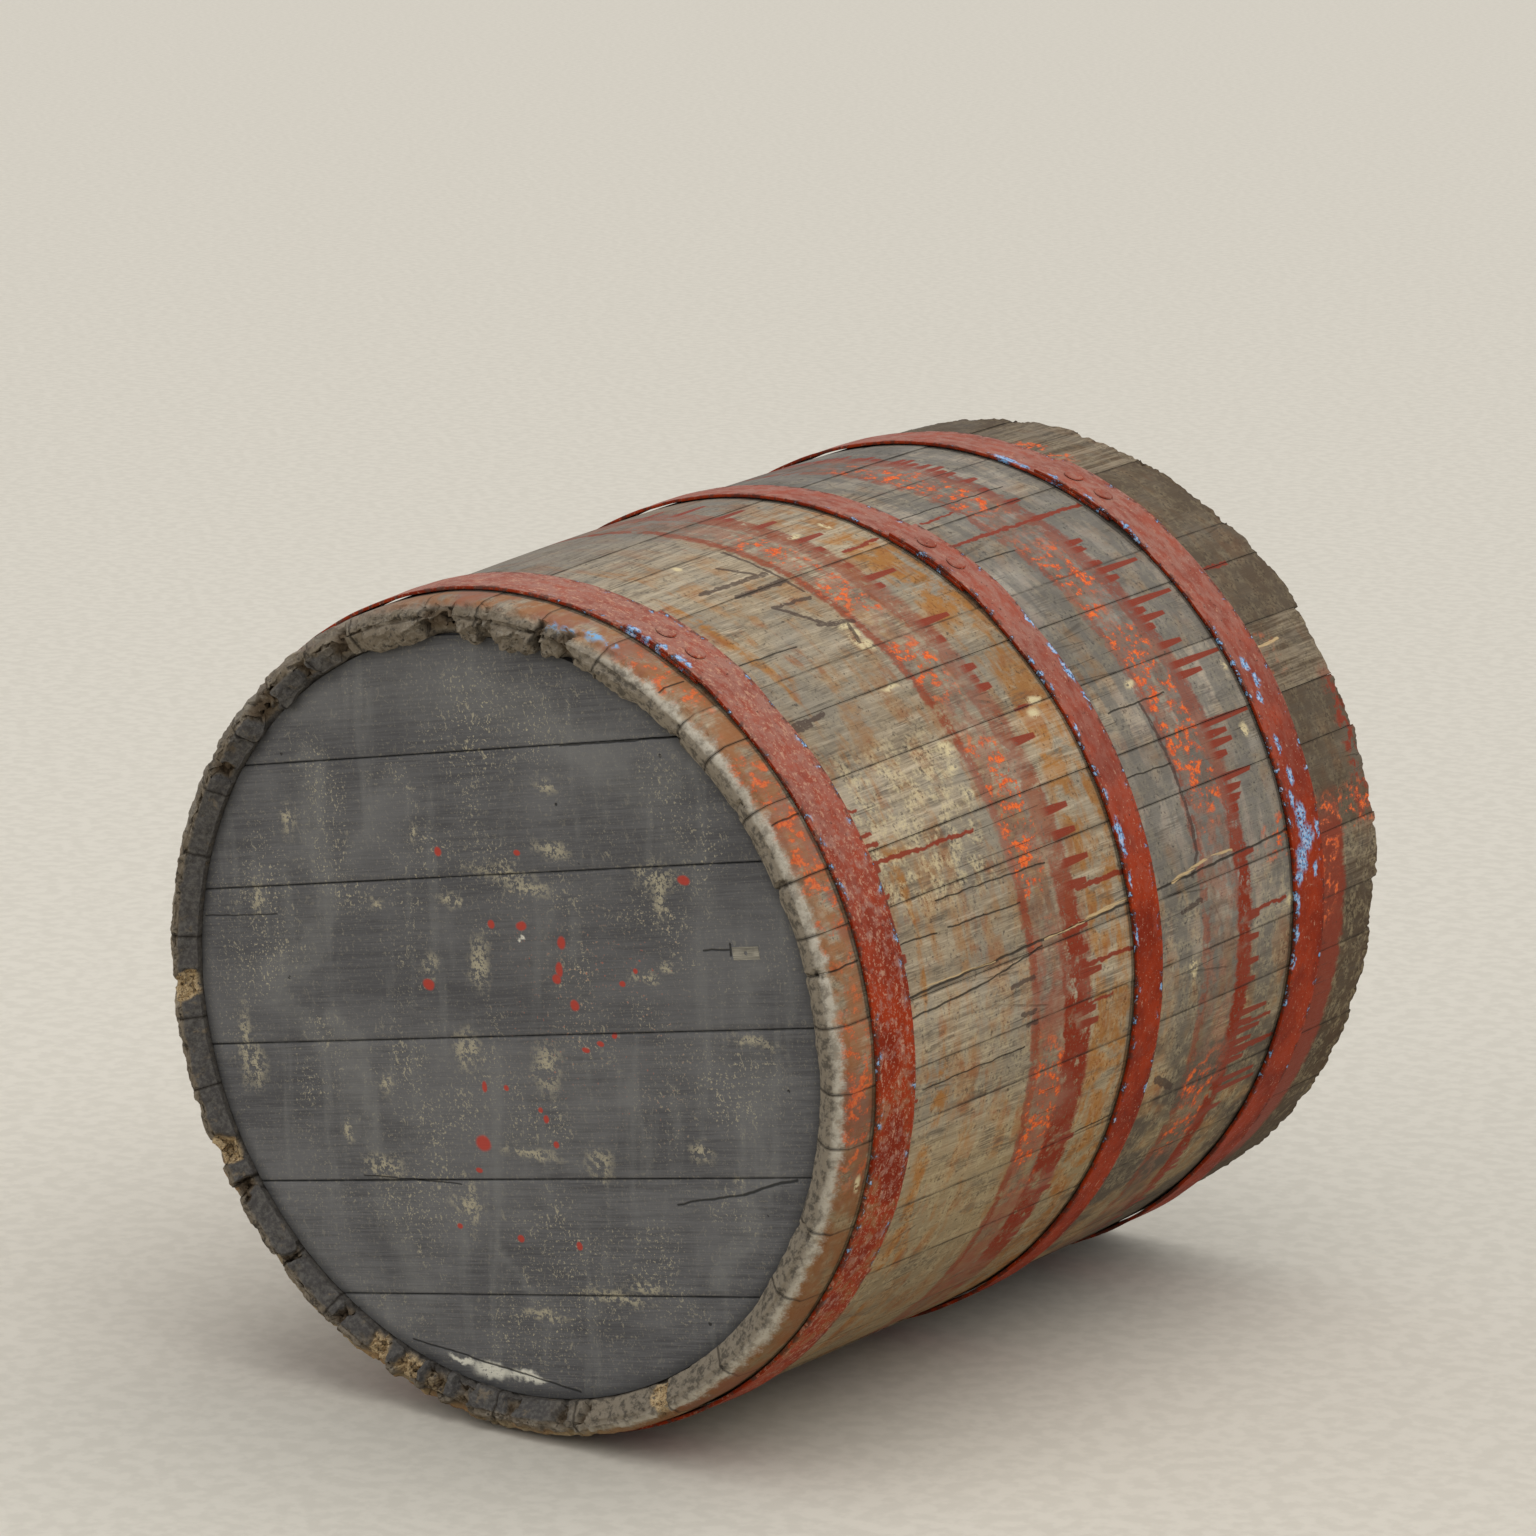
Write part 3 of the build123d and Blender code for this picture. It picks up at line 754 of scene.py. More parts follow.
ironPaint = {
    "red": tint(152, 50, 16), "deep": tint(122, 34, 8), "dustAndSheen": tint(156, 112, 98),
    "scuff": tint(190, 146, 120), "stain": tint(140, 98, 58), "rust": tint(64, 44, 36),
    "blue": tint(104, 160, 206), "paleBlue": tint(176, 186, 208),
    # chips down to blue paint: angle, along, half width, half height
    "chipSize": 0.72,
    "chips": [
        (69, 36, 7, 3), (66.5, 36, 5, 3.5), (64, 37, 6, 3), (61.5, 38, 6, 4), (60, 37, 4, 3),
        (49, 376, 9, 2.5), (44, 376, 7, 3), (40.5, 375, 12, 3.5), (36.5, 376, 5, 2.5),
        (33, 347, 4, 3), (18.5, 348, 14, 4.5), (16, 349, 6, 3), (12, 346, 7, 2), (5, 347, 9, 2),
        (77.5, 566, 14, 4.5), (74.5, 565, 6, 3), (70, 565, 6, 3), (64, 565, 8, 2), (57, 566, 8, 2),
        (33, 576, 8, 5), (30.5, 580, 7, 5), (28, 574, 6, 4), (21.5, 574, 10, 3), (17, 578, 9, 4),
        (11.5, 580, 14, 9), (8.5, 584, 12, 12), (6, 574, 14, 10), (3.5, 568, 8, 6), (9, 600, 10, 3),
        (0, 566, 9, 3), (-4, 565, 8, 2), (-8, 565, 6, 2), (4, 592, 6, 4), (14, 572, 9, 3),
    ],
}


def redIron():
    begin("red_iron", ironPaint)
    paint = ironPaint
    vector, along, angle, radius = barrelCoords()
    patches = cloud(vector, 26, 4, 0.6)
    speck = cloud(vector, 380, 3, 0.7)
    blot = cloud(vector, 120, 4, 0.65)
    brushed = cloud(stretch(vector, (70, 130, 70)), 1.0, 5, 0.7)
    ground("deep", "red", fade(patches, 0.36, 0.62))
    # the upward faces of the hoops are painted pinkish, partly dust and partly a painted sheen of
    # the light from above
    normal = put("SeparateXYZ", {0: put("NewGeometry").outputs["Normal"]})
    upward = fade(normal.outputs[2], 0.1, 0.9)
    coat("dustAndSheen", upward, fade(brushed, 0.36, 0.64, 0.35, 0.95))
    first = fade(along, 90, 80)
    coat("dustAndSheen", fade(blot, 0.48, 0.66), calc("MULTIPLY_ADD", first, 0.65, 0.15))
    stained = times(first, between(angle, -48, -2, 8), fade(patches, 0.42, 0.58),
                    fade(blot, 0.4, 0.6))
    coat("stain", stained, 0.7)
    scuffs = cloud(stretch(shift(vector, (1, 8, 3)), (110, 170, 110)), 1.0, 5, 0.75)
    coat("scuff", fade(calc("MULTIPLY_ADD", first, 0.05, scuffs), 0.62, 0.68), 0.6)
    coat("scuff", fade(calc("MULTIPLY_ADD", first, 0.05, speck), 0.62, 0.68), 0.6)
    rusty = times(fade(speck, 0.36, 0.3), fade(blot, 0.42, 0.55))
    coat("rust", rusty, 0.8)
    edge = 100.0
    for place in (34, 76, 344, 378, 562, 604):
        edge = calc("MINIMUM", edge, calc("ABSOLUTE", calc("SUBTRACT", along, place)))
    edgeWear = times(fade(edge, 5.5, 1.0), fade(blot, 0.47, 0.56))
    coat("rust", edgeWear, 0.7)
    plane = roundMap(vector, along, angle, 170.0, 11.0, "plane", 3.0)
    arc, size = barrel["arcPerDegree"], paint["chipSize"]
    chips = [(a * arc, b, c * size, d * size) for a, b, c, d in paint["chips"]]
    chips = spots(plane, chips, 0.4)
    small = times(fade(edge, 7.0, 1.5), fade(blot, 0.6, 0.62), between(angle, -30, 85, 5))
    chips = times(most(chips, small), fade(speck, 0.4, 0.46))
    coat(mix(fade(speck, 0.48, 0.6), paint["blue"], paint["paleBlue"]), chips)
    height = calc("MULTIPLY_ADD", blot, 0.5, times(patches, 0.5))
    height = calc("MULTIPLY_ADD", speck, 0.25, height)
    height = calc("MULTIPLY_ADD", chips, -0.5, height)
    height = calc("MULTIPLY_ADD", rusty, -0.4, height)
    roughness = mix(fade(blot, 0.4, 0.65), even(0.52), even(0.76))
    return finish(roughness, height, 0.0009, 0.07)


def woodPlain(name, dark, light):
    begin(name, {"dark": dark, "light": light})
    vector = barrelCoords()[0]
    fine, broad = oakGrain(levelWith(vector), 0)
    grain = calc("MULTIPLY_ADD", fine, 0.5, times(broad, 0.5))
    ground("dark", "light", fade(grain, 0.38, 0.62))
    stained = cloud(vector, 180, 4)
    coat("dark", fade(stained, 0.5, 0.7), 0.5)
    return finish(0.8, grain, 0.0008)


staveMaterial = staveOak()
boardMaterial = boardOak()
ironMaterial = redIron()
plugMaterial = woodPlain("grey_oak", tint(104, 100, 90), tint(172, 166, 150))
dowelMaterial = woodPlain("fresh_oak", tint(140, 108, 72), tint(196, 164, 120))
print("finishes are mixed")


staveShape = {
    "columnStep": 0.0018,  # width of a column of faces
    "edgeCrowding": 0.6,  # columns stand closer together near a stave's edges
    "rimRounding": 0.009,
    "endRounding": 0.004,
    "deepestSink": 0.0009,
    "edgeRound": 0.0005,
    "rimReach": 0.022,  # wear of the rim fades out this far along the stave
    "endReach": 0.022,  # and wear of the open end this far back from it
    "endWear": 0.0026,
    "rimStep": 0.0012,  # most that one stave's rim stands back from the next
    "brokenDepth": 0.008,  # wood that is gone this deep looks wholly broken
    "seamReach": 0.004,  # dirt reaches this far from a joint
    "seed": 7,
}
# how badly the rim is worn round the barrel: angle, depth of the crumbled grain in metres
rimWear = [
    (-180, 0.0034), (-150, 0.0044), (-115, 0.0060), (-95, 0.0048), (-72, 0.0022), (-55, 0.0010),
    (0, 0.0009), (50, 0.0011), (64, 0.0030), (78, 0.0056), (95, 0.0060), (135, 0.0062),
    (165, 0.0044),
    (180, 0.0034),
]
# places where a piece of the rim is gone: angle, half width, depth, how fresh the wood is
rimBreaks = [
    (97.0, 3.6, 0.021, 0.0), (134.0, 3.4, 0.023, 0.3), (75.0, 1.6, 0.012, 0.0),
    (79.5, 1.0, 0.010, 0.0),
    (115.5, 1.6, 0.012, 0.0), (147.0, 1.5, 0.010, 0.0), (124.0, 1.3, 0.009, 0.0),
    (88.5, 1.3, 0.009, 0.0), (-177.0, 2.6, 0.010, 1.0), (-152.0, 2.8, 0.012, 1.0),
    (-146.0, 1.6, 0.014, 0.3), (-114.0, 2.2, 0.011, 0.9), (-108.5, 2.8, 0.015, 1.0),
    (-103.0, 2.0, 0.013, 0.4), (-98.0, 1.6, 0.010, 0.3), (-61.0, 1.7, 0.008, 0.9),
    (-76.0, 1.2, 0.007, 0.1), (-134.0, 1.0, 0.010, 0.0), (-121.5, 1.0, 0.013, 0.0),
    (-89.0, 1.3, 0.006, 0.2), (-80.0, 0.9, 0.009, 0.0), (40.0, 0.8, 0.003, 0.0),
    (54.0, 0.7, 0.004, 0.0), (27.5, 0.6, 0.004, 0.0), (15.0, 0.6, 0.004, 0.0),
    (-22.0, 0.7, 0.003, 0.0),
]
# places where the rim's inside stands proud over the head: angle, half width, height, roughness
rimLumps = [
    (105.5, 6.5, 0.0080, 0.15), (86.0, 10.0, 0.0060, 1.0), (68.0, 6.0, 0.0035, 0.8),
    (131.0, 3.2, 0.0050, 0.4), (139.5, 3.5, 0.0030, 0.6), (-100.0, 9.0, 0.0030, 0.9),
    (-30.0, 8.0, 0.0020, 0.5), (10.0, 9.0, 0.0018, 0.5), (30.0, 9.0, 0.0016, 0.5),
]


def rimDepth(angle):
    for (start, low), (end, high) in zip(rimWear, rimWear[1:]):
        if angle <= end:
            return low + (high - low) * (angle - start) / (end - start)
    return rimWear[-1][1]


def rimLoss(point, normal, angle):
    # how much wood is gone at a place on the rim, and how fresh the break is
    shape = staveShape
    facing = normal.dot(around(1, angle, 0))
    outside, inside = clamp(facing), clamp(-facing)
    share = 1 - ease(point.y, 0.003, shape["rimReach"])
    lumps = noise.noise(point * 62) * 0.8 + noise.noise(point * 150) * 0.6
    lumps += noise.noise(point * 380) * 0.3
    pits = clamp(1 - noise.voronoi(point * 120)[0][0] * 2.4) * 0.8
    depth = rimDepth(angle)
    # the painted inner wall of the other side is smoother
    hidden = 0.75 if -72 < angle < 112 else 0.35
    loss = depth * max(0.0, 0.38 + lumps + pits) * (1 - 0.45 * outside)
    loss *= 1 - (1 - hidden) * ease(inside, 0.3, 0.9)
    fresh = 0.0
    for center, half, deep, tone in rimBreaks:
        offset = abs(wrap(angle - center + 1.6 * noise.noise(point * 70)))
        if offset < half:
            part = ease(half - offset, 0, half * 0.45) * (1 - 0.6 * outside)
            rough = 0.75 + 0.8 * noise.noise(point * 130) + 0.45 * noise.noise(point * 330)
            loss += deep * part * max(0.1, rough)
            fresh = max(fresh, tone * part)
    for center, half, high, rough in rimLumps:
        offset = abs(wrap(angle - center))
        if offset < half and inside > 0.05:
            part = ease(half - offset, 0, half * 0.5) * ease(inside, 0.05, 0.6)
            ragged = 0.9 + rough * (1.2 * noise.noise(point * 95) + 0.8 * noise.noise(point * 260))
            loss -= high * part * max(0.0, ragged)
    return loss * share, fresh * share


def buildStave(name, index):
    shape = staveShape
    random = Random(shape["seed"] * 100 + index)
    points = cadPoints(name)
    middle = sum((Vector((p.x, 0, p.z)) for p in points), Vector())
    heading = angleOf(middle)
    offsets = [wrap(angleOf(p) - heading) for p in points]
    start, end = heading + min(offsets), heading + max(offsets)
    length = max(p.y for p in points)
    rim, tip = shape["rimRounding"], shape["endRounding"]
    endOuter, endInner = outerRadius(length), innerRadius(length)
    corners = [
        (barrel["rimInner"], 0, 0.0014, None),
        (barrel["headEndRadius"] - rim, 0, 0.0016, None),
        (barrel["headEndRadius"], rim, 0.0018, outerRadius),
        (outerRadius(0.036), 0.036, 0.0034, outerRadius),
        (outerRadius(length - 0.03), length - 0.03, 0.0022, outerRadius),
        (outerRadius(length - tip), length - tip, 0.002, None),
        (endOuter - tip, length, 0.0022, None),
        (endInner + tip, length, 0.002, None),
        (endInner, length - tip, 0.003, innerRadius),
        (innerRadius(length - 0.03), length - 0.03, 0.016, innerRadius),
        (barrel["chimeWall"], barrel["grooveEnd"], 0.004, None),
        (barrel["grooveRadius"], barrel["grooveEnd"], 0.004, None),
        (barrel["grooveRadius"], barrel["grooveStart"], 0.004, None),
        (barrel["chimeWall"], barrel["grooveStart"], 0.0016, None),
        (barrel["chimeWall"], barrel["bevelDepth"], 0.0014, None),
    ]
    bm = bmesh.new()
    chain(bm, corners, closed=True)
    bmesh.ops.rotate(bm, verts=bm.verts, matrix=Matrix.Rotation(-radians(start), 3, "Y"))
    width = radians(end - start) * barrel["headEndRadius"]
    steps = max(8, ceil(width / shape["columnStep"]))
    bmesh.ops.spin(
        bm, geom=bm.verts[:] + bm.edges[:], cent=(0, 0, 0), axis=(0, -1, 0),
        angle=radians(end - start), steps=steps, use_merge=False,
    )
    bmesh.ops.holes_fill(bm, edges=[e for e in bm.edges if e.is_boundary], sides=0)
    bmesh.ops.recalc_face_normals(bm, faces=bm.faces)
    bm.normal_update()

    toneLayer = bm.verts.layers.float.new("tone")
    freshLayer = bm.verts.layers.float.new("fresh")
    lossLayer = bm.verts.layers.float.new("loss")
    seamLayer = bm.verts.layers.float.new("seam")
    tone = random.random()
    sink = shape["deepestSink"] * random.random()
    rimSet = shape["rimStep"] * random.random()
    seed = Vector((0, 0, index * 3.7))
    normals = [vert.normal.copy() for vert in bm.verts]
    for vert, normal in zip(bm.verts, normals):
        radius = hypot(vert.co.x, vert.co.z)
        share = clamp(wrap(angleOf(vert.co) - start) / (end - start))
        share -= shape["edgeCrowding"] * sin(2 * pi * share) / (2 * pi)
        angle = start + (end - start) * share
        along = vert.co.y
        place = around(radius, angle, along)
        edge = min(share, 1 - share) * width
        outside = radius > outerRadius(along) - 0.0045
        loss, fresh = 0.0, 0.0
        if along < shape["rimReach"]:
            loss, fresh = rimLoss(place, normal, wrap(angle))
            loss += rimSet * clamp(-normal.y) * (1 - ease(along, 0, 0.004))
            loss += 0.0005 * ease(0.0026 - edge, 0, 0.0026) * ease(0.012 - along, 0, 0.012)
        if outside:
            long = Vector((place.x * 90, along * 9, place.z * 90))
            broad = Vector((place.x * 22, along * 5, place.z * 22)) + seed
            ripple = 0.00022 * noise.noise(long) + 0.0004 * noise.noise(broad)
            loss += sink + max(0.0, 0.0004 + ripple)
            loss += shape["edgeRound"] * (1 - ease(edge, 0, 0.0028)) ** 2 * 0.7
        if along > length - shape["endReach"]:
            far = ease(along, length - shape["endReach"], length)
            crumbled = 0.4 + noise.noise(place * 70) + noise.noise(place * 230)
            loss += far * shape["endWear"] * max(0.0, crumbled)
        side = around(1, angle + 90, 0)
        normal = normal - side * normal.dot(side)
        vert.co = place - normal * loss
        vert[toneLayer] = tone
        vert[freshLayer] = fresh
        vert[lossLayer] = clamp(loss / shape["brokenDepth"]) if along < 0.03 else 0.0
        vert[seamLayer] = 1 - ease(edge, 0, shape["seamReach"])
    material = markStave(staveMaterial, name, start, end)
    return keepPiece(bm, "oak_" + name, material, [name])


staveNames = sorted(name for name in nodes if name.startswith("stave_"))
for index, name in enumerate(staveNames):
    buildStave(name, index)
print("staves:", len(staveNames))


headShape = {
    "front": 0.014, "back": 0.036, "tongueFront": 0.020, "tongueBack": 0.026,
    "radius": 0.2735, "tongueRadius": 0.2797, "bevelRadius": 0.262,
    "step": 0.005, "warp": 0.0008, "edgeRound": 0.0006, "seamReach": 0.004,
}


def tideAt(point):
    # how pale a dried tide mark has left this place on the head
    spot = Vector((point.x * 1000, point.z * 1000))
    wobble = noise.noise_vector(point * 26) * 12 + noise.noise_vector(point * 90) * 4
    spot += Vector((wobble.x, wobble.z))
    pale = 0.0
    for line, half, strength in headPaint["tides"]:
        for first, last in zip(line, line[1:]):
            start, run = Vector(first), Vector(last) - Vector(first)
            share = clamp((spot - start).dot(run) / run.length_squared)
            gap = (spot - start - run * share).length
            pale = max(pale, strength * (1 - ease(gap, half * 0.3, half * 1.6)))
    return pale


def cutThrough(bm, cuts):
    for place, direction in cuts:
        bmesh.ops.bisect_plane(
            bm, geom=bm.verts[:] + bm.edges[:] + bm.faces[:], dist=1e-6,
            plane_co=place, plane_no=direction,
        )


def buildBoard(name, index):
    shape = headShape
    roll = Matrix.Rotation(radians(barrel["boardRoll"]), 4, "Y")
    points = [roll @ p for p in cadPoints(name)]
    low, high = min(p.z for p in points), max(p.z for p in points)
    bm = bmesh.new()
    bmesh.ops.create_circle(bm, cap_ends=True, segments=360, radius=shape["radius"])
    bmesh.ops.rotate(bm, verts=bm.verts, matrix=Matrix.Rotation(radians(90), 3, "X"))
    bmesh.ops.translate(bm, verts=bm.verts, vec=(0, shape["front"], 0))
    for level, side in ((low, -1), (high, 1)):
        bmesh.ops.bisect_plane(
            bm, geom=bm.verts[:] + bm.edges[:] + bm.faces[:], dist=1e-6,
            plane_co=(0, 0, level), plane_no=(0, 0, side), clear_outer=True,
        )
    count = ceil(2 * shape["radius"] / shape["step"])
    cuts = [((-shape["radius"] + number * shape["step"], 0, 0), (1, 0, 0))
            for number in range(1, count)]
    rows = ceil((high - low) / shape["step"])
    levels = [low + (high - low) * number / rows for number in range(1, rows)]
    levels += [low + 0.0007, low + 0.0018, high - 0.0007, high - 0.0018]
    cutThrough(bm, cuts + [((0, 0, level), (0, 0, 1)) for level in levels])
    made = bmesh.ops.extrude_face_region(bm, geom=bm.faces[:])
    moved = [item for item in made["geom"] if isinstance(item, bmesh.types.BMVert)]
    bmesh.ops.translate(bm, verts=moved, vec=(0, shape["back"] - shape["front"], 0))
    cutThrough(bm, [((0, depth, 0), (0, 1, 0)) for depth in (
        shape["front"] + 0.0008, shape["front"] + 0.002, shape["tongueFront"] - 0.0003,
        shape["tongueFront"], shape["tongueBack"], shape["tongueBack"] + 0.0003,
    )])
    bmesh.ops.recalc_face_normals(bm, faces=bm.faces)
    edgeLayer = bm.verts.layers.float.new("seam")
    toneLayer = bm.verts.layers.float.new("tone")
    hazeLayer = bm.verts.layers.float.new("haze")
    unroll = roll.inverted()
    tone = Random(90 + index).random()
    for vert in bm.verts:
        x, depth, z = vert.co
        radius = hypot(x, z)
        edge = min(z - low if index > 0 else 1, high - z if index < 5 else 1)
        if radius > shape["radius"] - 0.0005:
            if shape["tongueFront"] - 1e-5 < depth < shape["tongueBack"] + 1e-5:
                grow = shape["tongueRadius"] / radius
                vert.co.x, vert.co.z = x * grow, clamp(z * grow, low, high)
        if depth > shape["back"] - 1e-5 and radius > shape["bevelRadius"]:
            share = (radius - shape["bevelRadius"]) / (shape["radius"] - shape["bevelRadius"])
            vert.co.y -= share * (shape["back"] - shape["tongueBack"] - 0.0004)
        if depth < shape["front"] + 1e-5:
            place = Vector((x * 5, index * 3.1, z * 14))
            wave = shape["warp"] * (0.5 + noise.noise(place))
            wave += 0.00018 * noise.noise(Vector((x * 12, 3, z * 160)))
            vert.co.y += wave + shape["edgeRound"] * (1 - ease(edge, 0, 0.0022)) ** 2
        vert[edgeLayer] = 1 - ease(edge, 0, shape["seamReach"])
        vert[toneLayer] = tone
        vert[hazeLayer] = tideAt(unroll @ vert.co)
    bmesh.ops.transform(bm, matrix=unroll, verts=bm.verts)
    return keepPiece(bm, "oak_" + name, boardMaterial, [name])


boardNames = sorted(name for name in nodes if name.startswith("head_board_"))
for index, name in enumerate(boardNames):
    buildBoard(name, index)
print("head boards:", len(boardNames))


hoopShape = {
    "thickness": 0.0025, "clearance": 0.00015, "edgeRound": 0.0006, "lapArc": 13.0,
    "liftArc": 9.0, "liftGap": 0.0002, "columnStep": 0.0026, "flare": 0.0008, "dent": 0.00025,
    "waver": 0.0009, "ripple": 0.0003,
}
lapAngles = {"head_hoop": 63.9, "middle_hoop": 63.1, "open_end_hoop": 66.1}
rivetShape = {
    "arc": 5.0, "radius": 0.0076, "height": 0.0019, "shank": 0.003, "reach": 0.0046,
    "lift": 0.0009, "segments": 32, "rough": 0.00035,
}


def hoopSurface(start, end, along):
    low, high = outerRadius(start), outerRadius(end)
    return low + (high - low) * (along - start) / (end - start) + hoopShape["clearance"]


def buildHoop(name, lapAngle, index):
    shape = hoopShape
    rings = cadPoints(name)
    start, end = min(p.y for p in rings), max(p.y for p in rings)
    thick, rounding = shape["thickness"], shape["edgeRound"]
    bm = bmesh.new()
    low, high = hoopSurface(start, end, start), hoopSurface(start, end, end)
    corners = [
        (low, start, 0.004, None), (high, end, 0.004, None),
        (high + thick, end, 0.004, None), (low + thick, start, 0.004, None),
    ]
    chain(bm, corners, closed=True)
    bmesh.ops.bevel(
        bm, geom=[v for v in bm.verts if any(abs(v.co.y - c[1]) + abs(v.co.x - c[0]) < 1e-6
                                             for c in corners)],
        offset=rounding, segments=2, profile=0.5, affect="VERTICES", material=-1,
    )
    firstAngle = lapAngle - shape["lapArc"] / 2
    sweep = 360 + shape["lapArc"]
    bmesh.ops.rotate(bm, verts=bm.verts, matrix=Matrix.Rotation(-radians(firstAngle), 3, "Y"))
    # each vertex keeps how far round it is, because the two ends of the strip overlap
    progress = bm.verts.layers.float.new("progress")
    steps = ceil(radians(sweep) * low / shape["columnStep"])
    ring = bm.verts[:]
    edges = bm.edges[:]
    bmesh.ops.spin(
        bm, geom=ring + edges, cent=(0, 0, 0), axis=(0, -1, 0),
        angle=radians(sweep), steps=steps, use_merge=False,
    )
    bm.verts.ensure_lookup_table()
    perRing = len(bm.verts) // (steps + 1)
    for number, vert in enumerate(bm.verts):
        vert[progress] = sweep * (number // perRing) / steps
    bmesh.ops.holes_fill(bm, edges=[e for e in bm.edges if e.is_boundary], sides=0)
    bmesh.ops.recalc_face_normals(bm, faces=bm.faces)
    seed = Vector((index * 5.3, 0, 0))
    for vert in bm.verts:
        radius = hypot(vert.co.x, vert.co.z)
        along = vert.co.y
        went = vert[progress]
        angle = firstAngle + went
        flat = around(1, angle, 0)
        lift = (thick + shape["liftGap"]) * ease(went, 360 - shape["liftArc"], 360)
        near = 1 - (along - start) / (end - start)
        wave = (0.5 + 0.5 * noise.noise(flat * 3.2 + seed)) * (0.5 + 0.5 * cos(radians(angle)))
        flare = shape["flare"] * wave * near * near
        flare += shape["flare"] * (0.5 + 0.5 * noise.noise(flat * 5.1 - seed)) * (1 - near) ** 2
        dents = shape["dent"] * noise.noise(around(radius, angle, along) * 55)
        radius += lift + flare + dents + 0.0001
        along += shape["waver"] * noise.noise(flat * 4.2 + seed * 2)
        along += shape["ripple"] * noise.noise(flat * 38 + seed) * abs(2 * near - 1)
        vert.co = around(radius, angle, along)
    return keepPiece(bm, "iron_" + name, ironMaterial, [name], worn=0.0)


def buildRivets(name, lapAngle, index):
    shape = rivetShape
    rings = cadPoints(name)
    start, end = min(p.y for p in rings), max(p.y for p in rings)
    middle = (start + end) / 2
    surface = hoopSurface(start, end, middle) + 2 * hoopShape["thickness"] + shape["lift"]
    bm = bmesh.new()
    for side in (-1, 1):
        angle = lapAngle + side * shape["arc"] / 2
        dome = bmesh.new()
        corners = [
            (0, shape["height"], 0.0009, None),
            (shape["radius"] * 0.55, shape["height"] * 0.86, 0.0009, None),
            (shape["radius"] * 0.9, shape["height"] * 0.42, 0.0009, None),
            (shape["radius"], 0, 0.0015, None), (shape["shank"], 0, 0.0015, None),
            (shape["shank"], -shape["reach"], 0.0015, None), (0, -shape["reach"], 1, None),
        ]
        chain(dome, corners)
        bmesh.ops.spin(
            dome, geom=dome.verts[:] + dome.edges[:], cent=(0, 0, 0), axis=(0, 1, 0),
            angle=radians(360), steps=shape["segments"], use_merge=True,
        )
        bmesh.ops.remove_doubles(dome, verts=dome.verts, dist=1e-6)
        bmesh.ops.recalc_face_normals(dome, faces=dome.faces)
        for vert in dome.verts:
            if vert.co.y > 0:
                bump = noise.noise(vert.co * 240 + Vector((index * 9, side * 4, 0)))
                vert.co.y += shape["rough"] * bump
                vert.co.x *= 1 + 0.06 * noise.noise(vert.co * 90 + Vector((side * 7, index, 0)))
        out = around(1, angle, 0)
        place = Matrix.Translation(out * surface + Vector((0, middle, 0)))
        stand = place @ out.to_track_quat("Y", "Z").to_matrix().to_4x4()
        bmesh.ops.transform(dome, matrix=stand, verts=dome.verts)
        part = bpy.data.meshes.new("dome")
        dome.to_mesh(part)
        dome.free()
        bm.from_mesh(part)
        bpy.data.meshes.remove(part)
    return keepPiece(bm, "iron_" + name + "_rivets", ironMaterial,
                     [name + "_rivets"])


for index, (name, lapAngle) in enumerate(lapAngles.items()):
    buildHoop(name, lapAngle, index)
    buildRivets(name, lapAngle, index)
print("hoops:", len(lapAngles))

for name, material in (("head_repair_plug", plugMaterial), ("head_dowels", dowelMaterial)):
    nodes[name].data.materials.clear()
    nodes[name].data.materials.append(material)


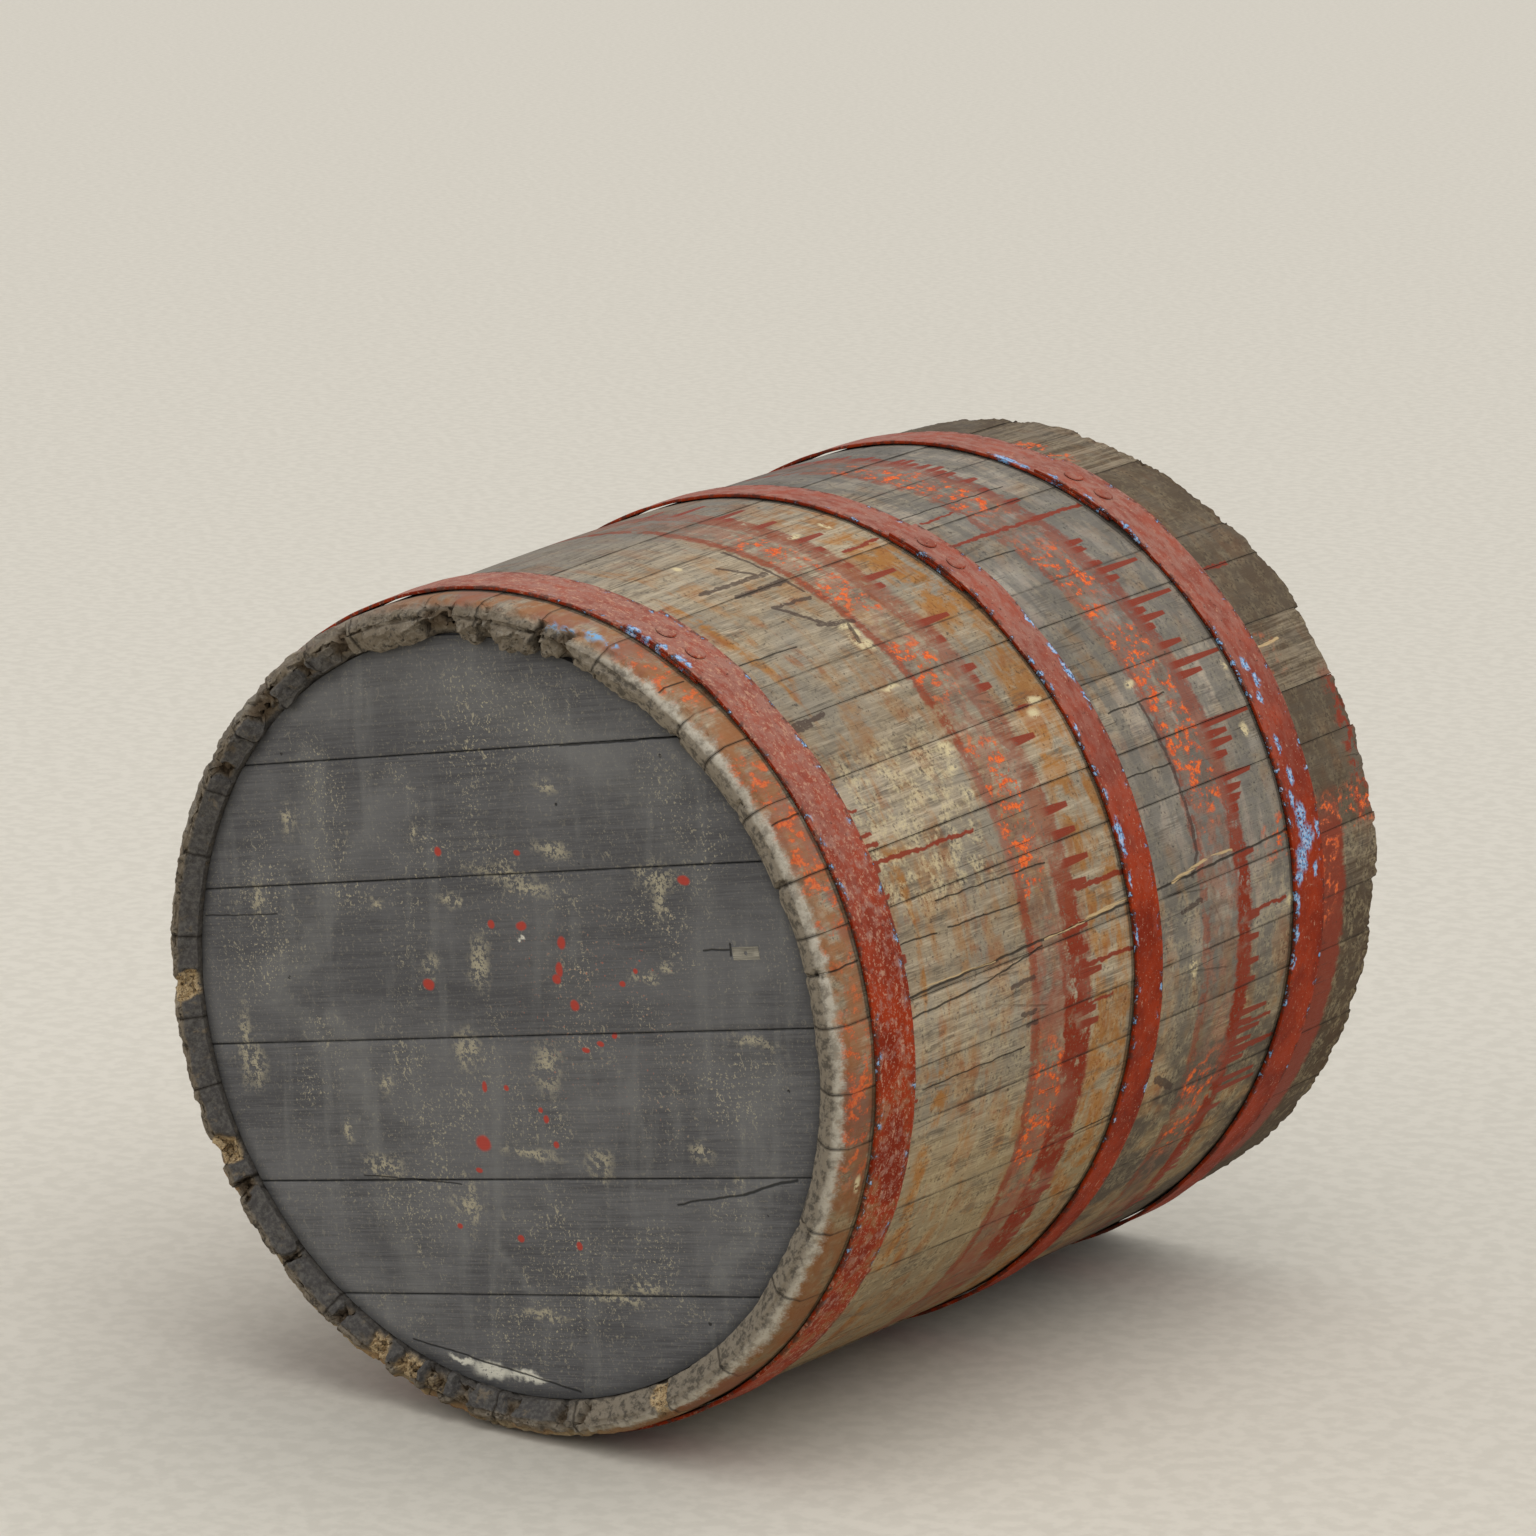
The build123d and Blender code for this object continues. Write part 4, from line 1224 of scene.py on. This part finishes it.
studio = {
    "floorSize": 90.0,
    "floorColor": tint(206, 200, 187), "floorSpeckle": tint(199, 193, 180),
    "skyColor": (0.93, 0.95, 0.99, 1.0),
    "skyStrength": 0.62,
    "window": {"from": (0.42, 0.10, 1.0), "angle": 75, "strength": 1.8,
               "color": (1.0, 0.985, 0.96)},
    "room": {"place": (-2.4, -3.6, 1.9), "size": 3.2, "watts": 30, "color": (1.0, 0.98, 0.95)},
}
camera = {
    "place": (2.2475, -3.1969, 1.2271),
    "heading": 35.185,  # degrees, turned left from +Y
    "dip": 11.573,  # degrees below level
    "lens": 125.99,
    "sensor": 36.0,
}

begin("floor", studio)
speckle = cloud(mixing["object"], 60, 4)
ground("floorColor", "floorSpeckle", fade(speckle, 0.4, 0.6))
floorMaterial = finish(0.9, speckle, 0.0003)
bm = bmesh.new()
bmesh.ops.create_grid(bm, x_segments=1, y_segments=1, size=studio["floorSize"] / 2)
floorMesh = bpy.data.meshes.new("floor")
bm.to_mesh(floorMesh)
bm.free()
floorMesh.materials.append(floorMaterial)
floor = bpy.data.objects.new("floor", floorMesh)
bpy.context.scene.collection.objects.link(floor)

world = bpy.data.worlds.new("studio")
bpy.context.scene.world = world
world.use_nodes = True
background = world.node_tree.nodes["Background"]
background.inputs["Color"].default_value = studio["skyColor"]
background.inputs["Strength"].default_value = studio["skyStrength"]
window, room = studio["window"], studio["room"]
windowLight = bpy.data.lights.new("window", "SUN")
windowLight.energy, windowLight.angle = window["strength"], radians(window["angle"])
windowLight.color = window["color"]
roomLight = bpy.data.lights.new("room", "AREA")
roomLight.shape, roomLight.size = "DISK", room["size"]
roomLight.energy, roomLight.color = room["watts"], room["color"]
for light, place in ((windowLight, window["from"]), (roomLight, room["place"])):
    lamp = bpy.data.objects.new(light.name, light)
    lamp.location = place
    lamp.rotation_euler = Vector(place).to_track_quat("Z", "Y").to_euler()
    bpy.context.scene.collection.objects.link(lamp)

bpy.context.scene.view_settings.view_transform = "Standard"
cameraData = bpy.data.cameras.new("camera")
cameraData.lens = camera["lens"]
cameraData.sensor_width = camera["sensor"]
cameraObject = bpy.data.objects.new("camera", cameraData)
cameraObject.location = camera["place"]
cameraObject.rotation_euler = (radians(90 - camera["dip"]), 0, radians(camera["heading"]))
bpy.context.scene.collection.objects.link(cameraObject)
bpy.context.scene.camera = cameraObject
print("studio is set")
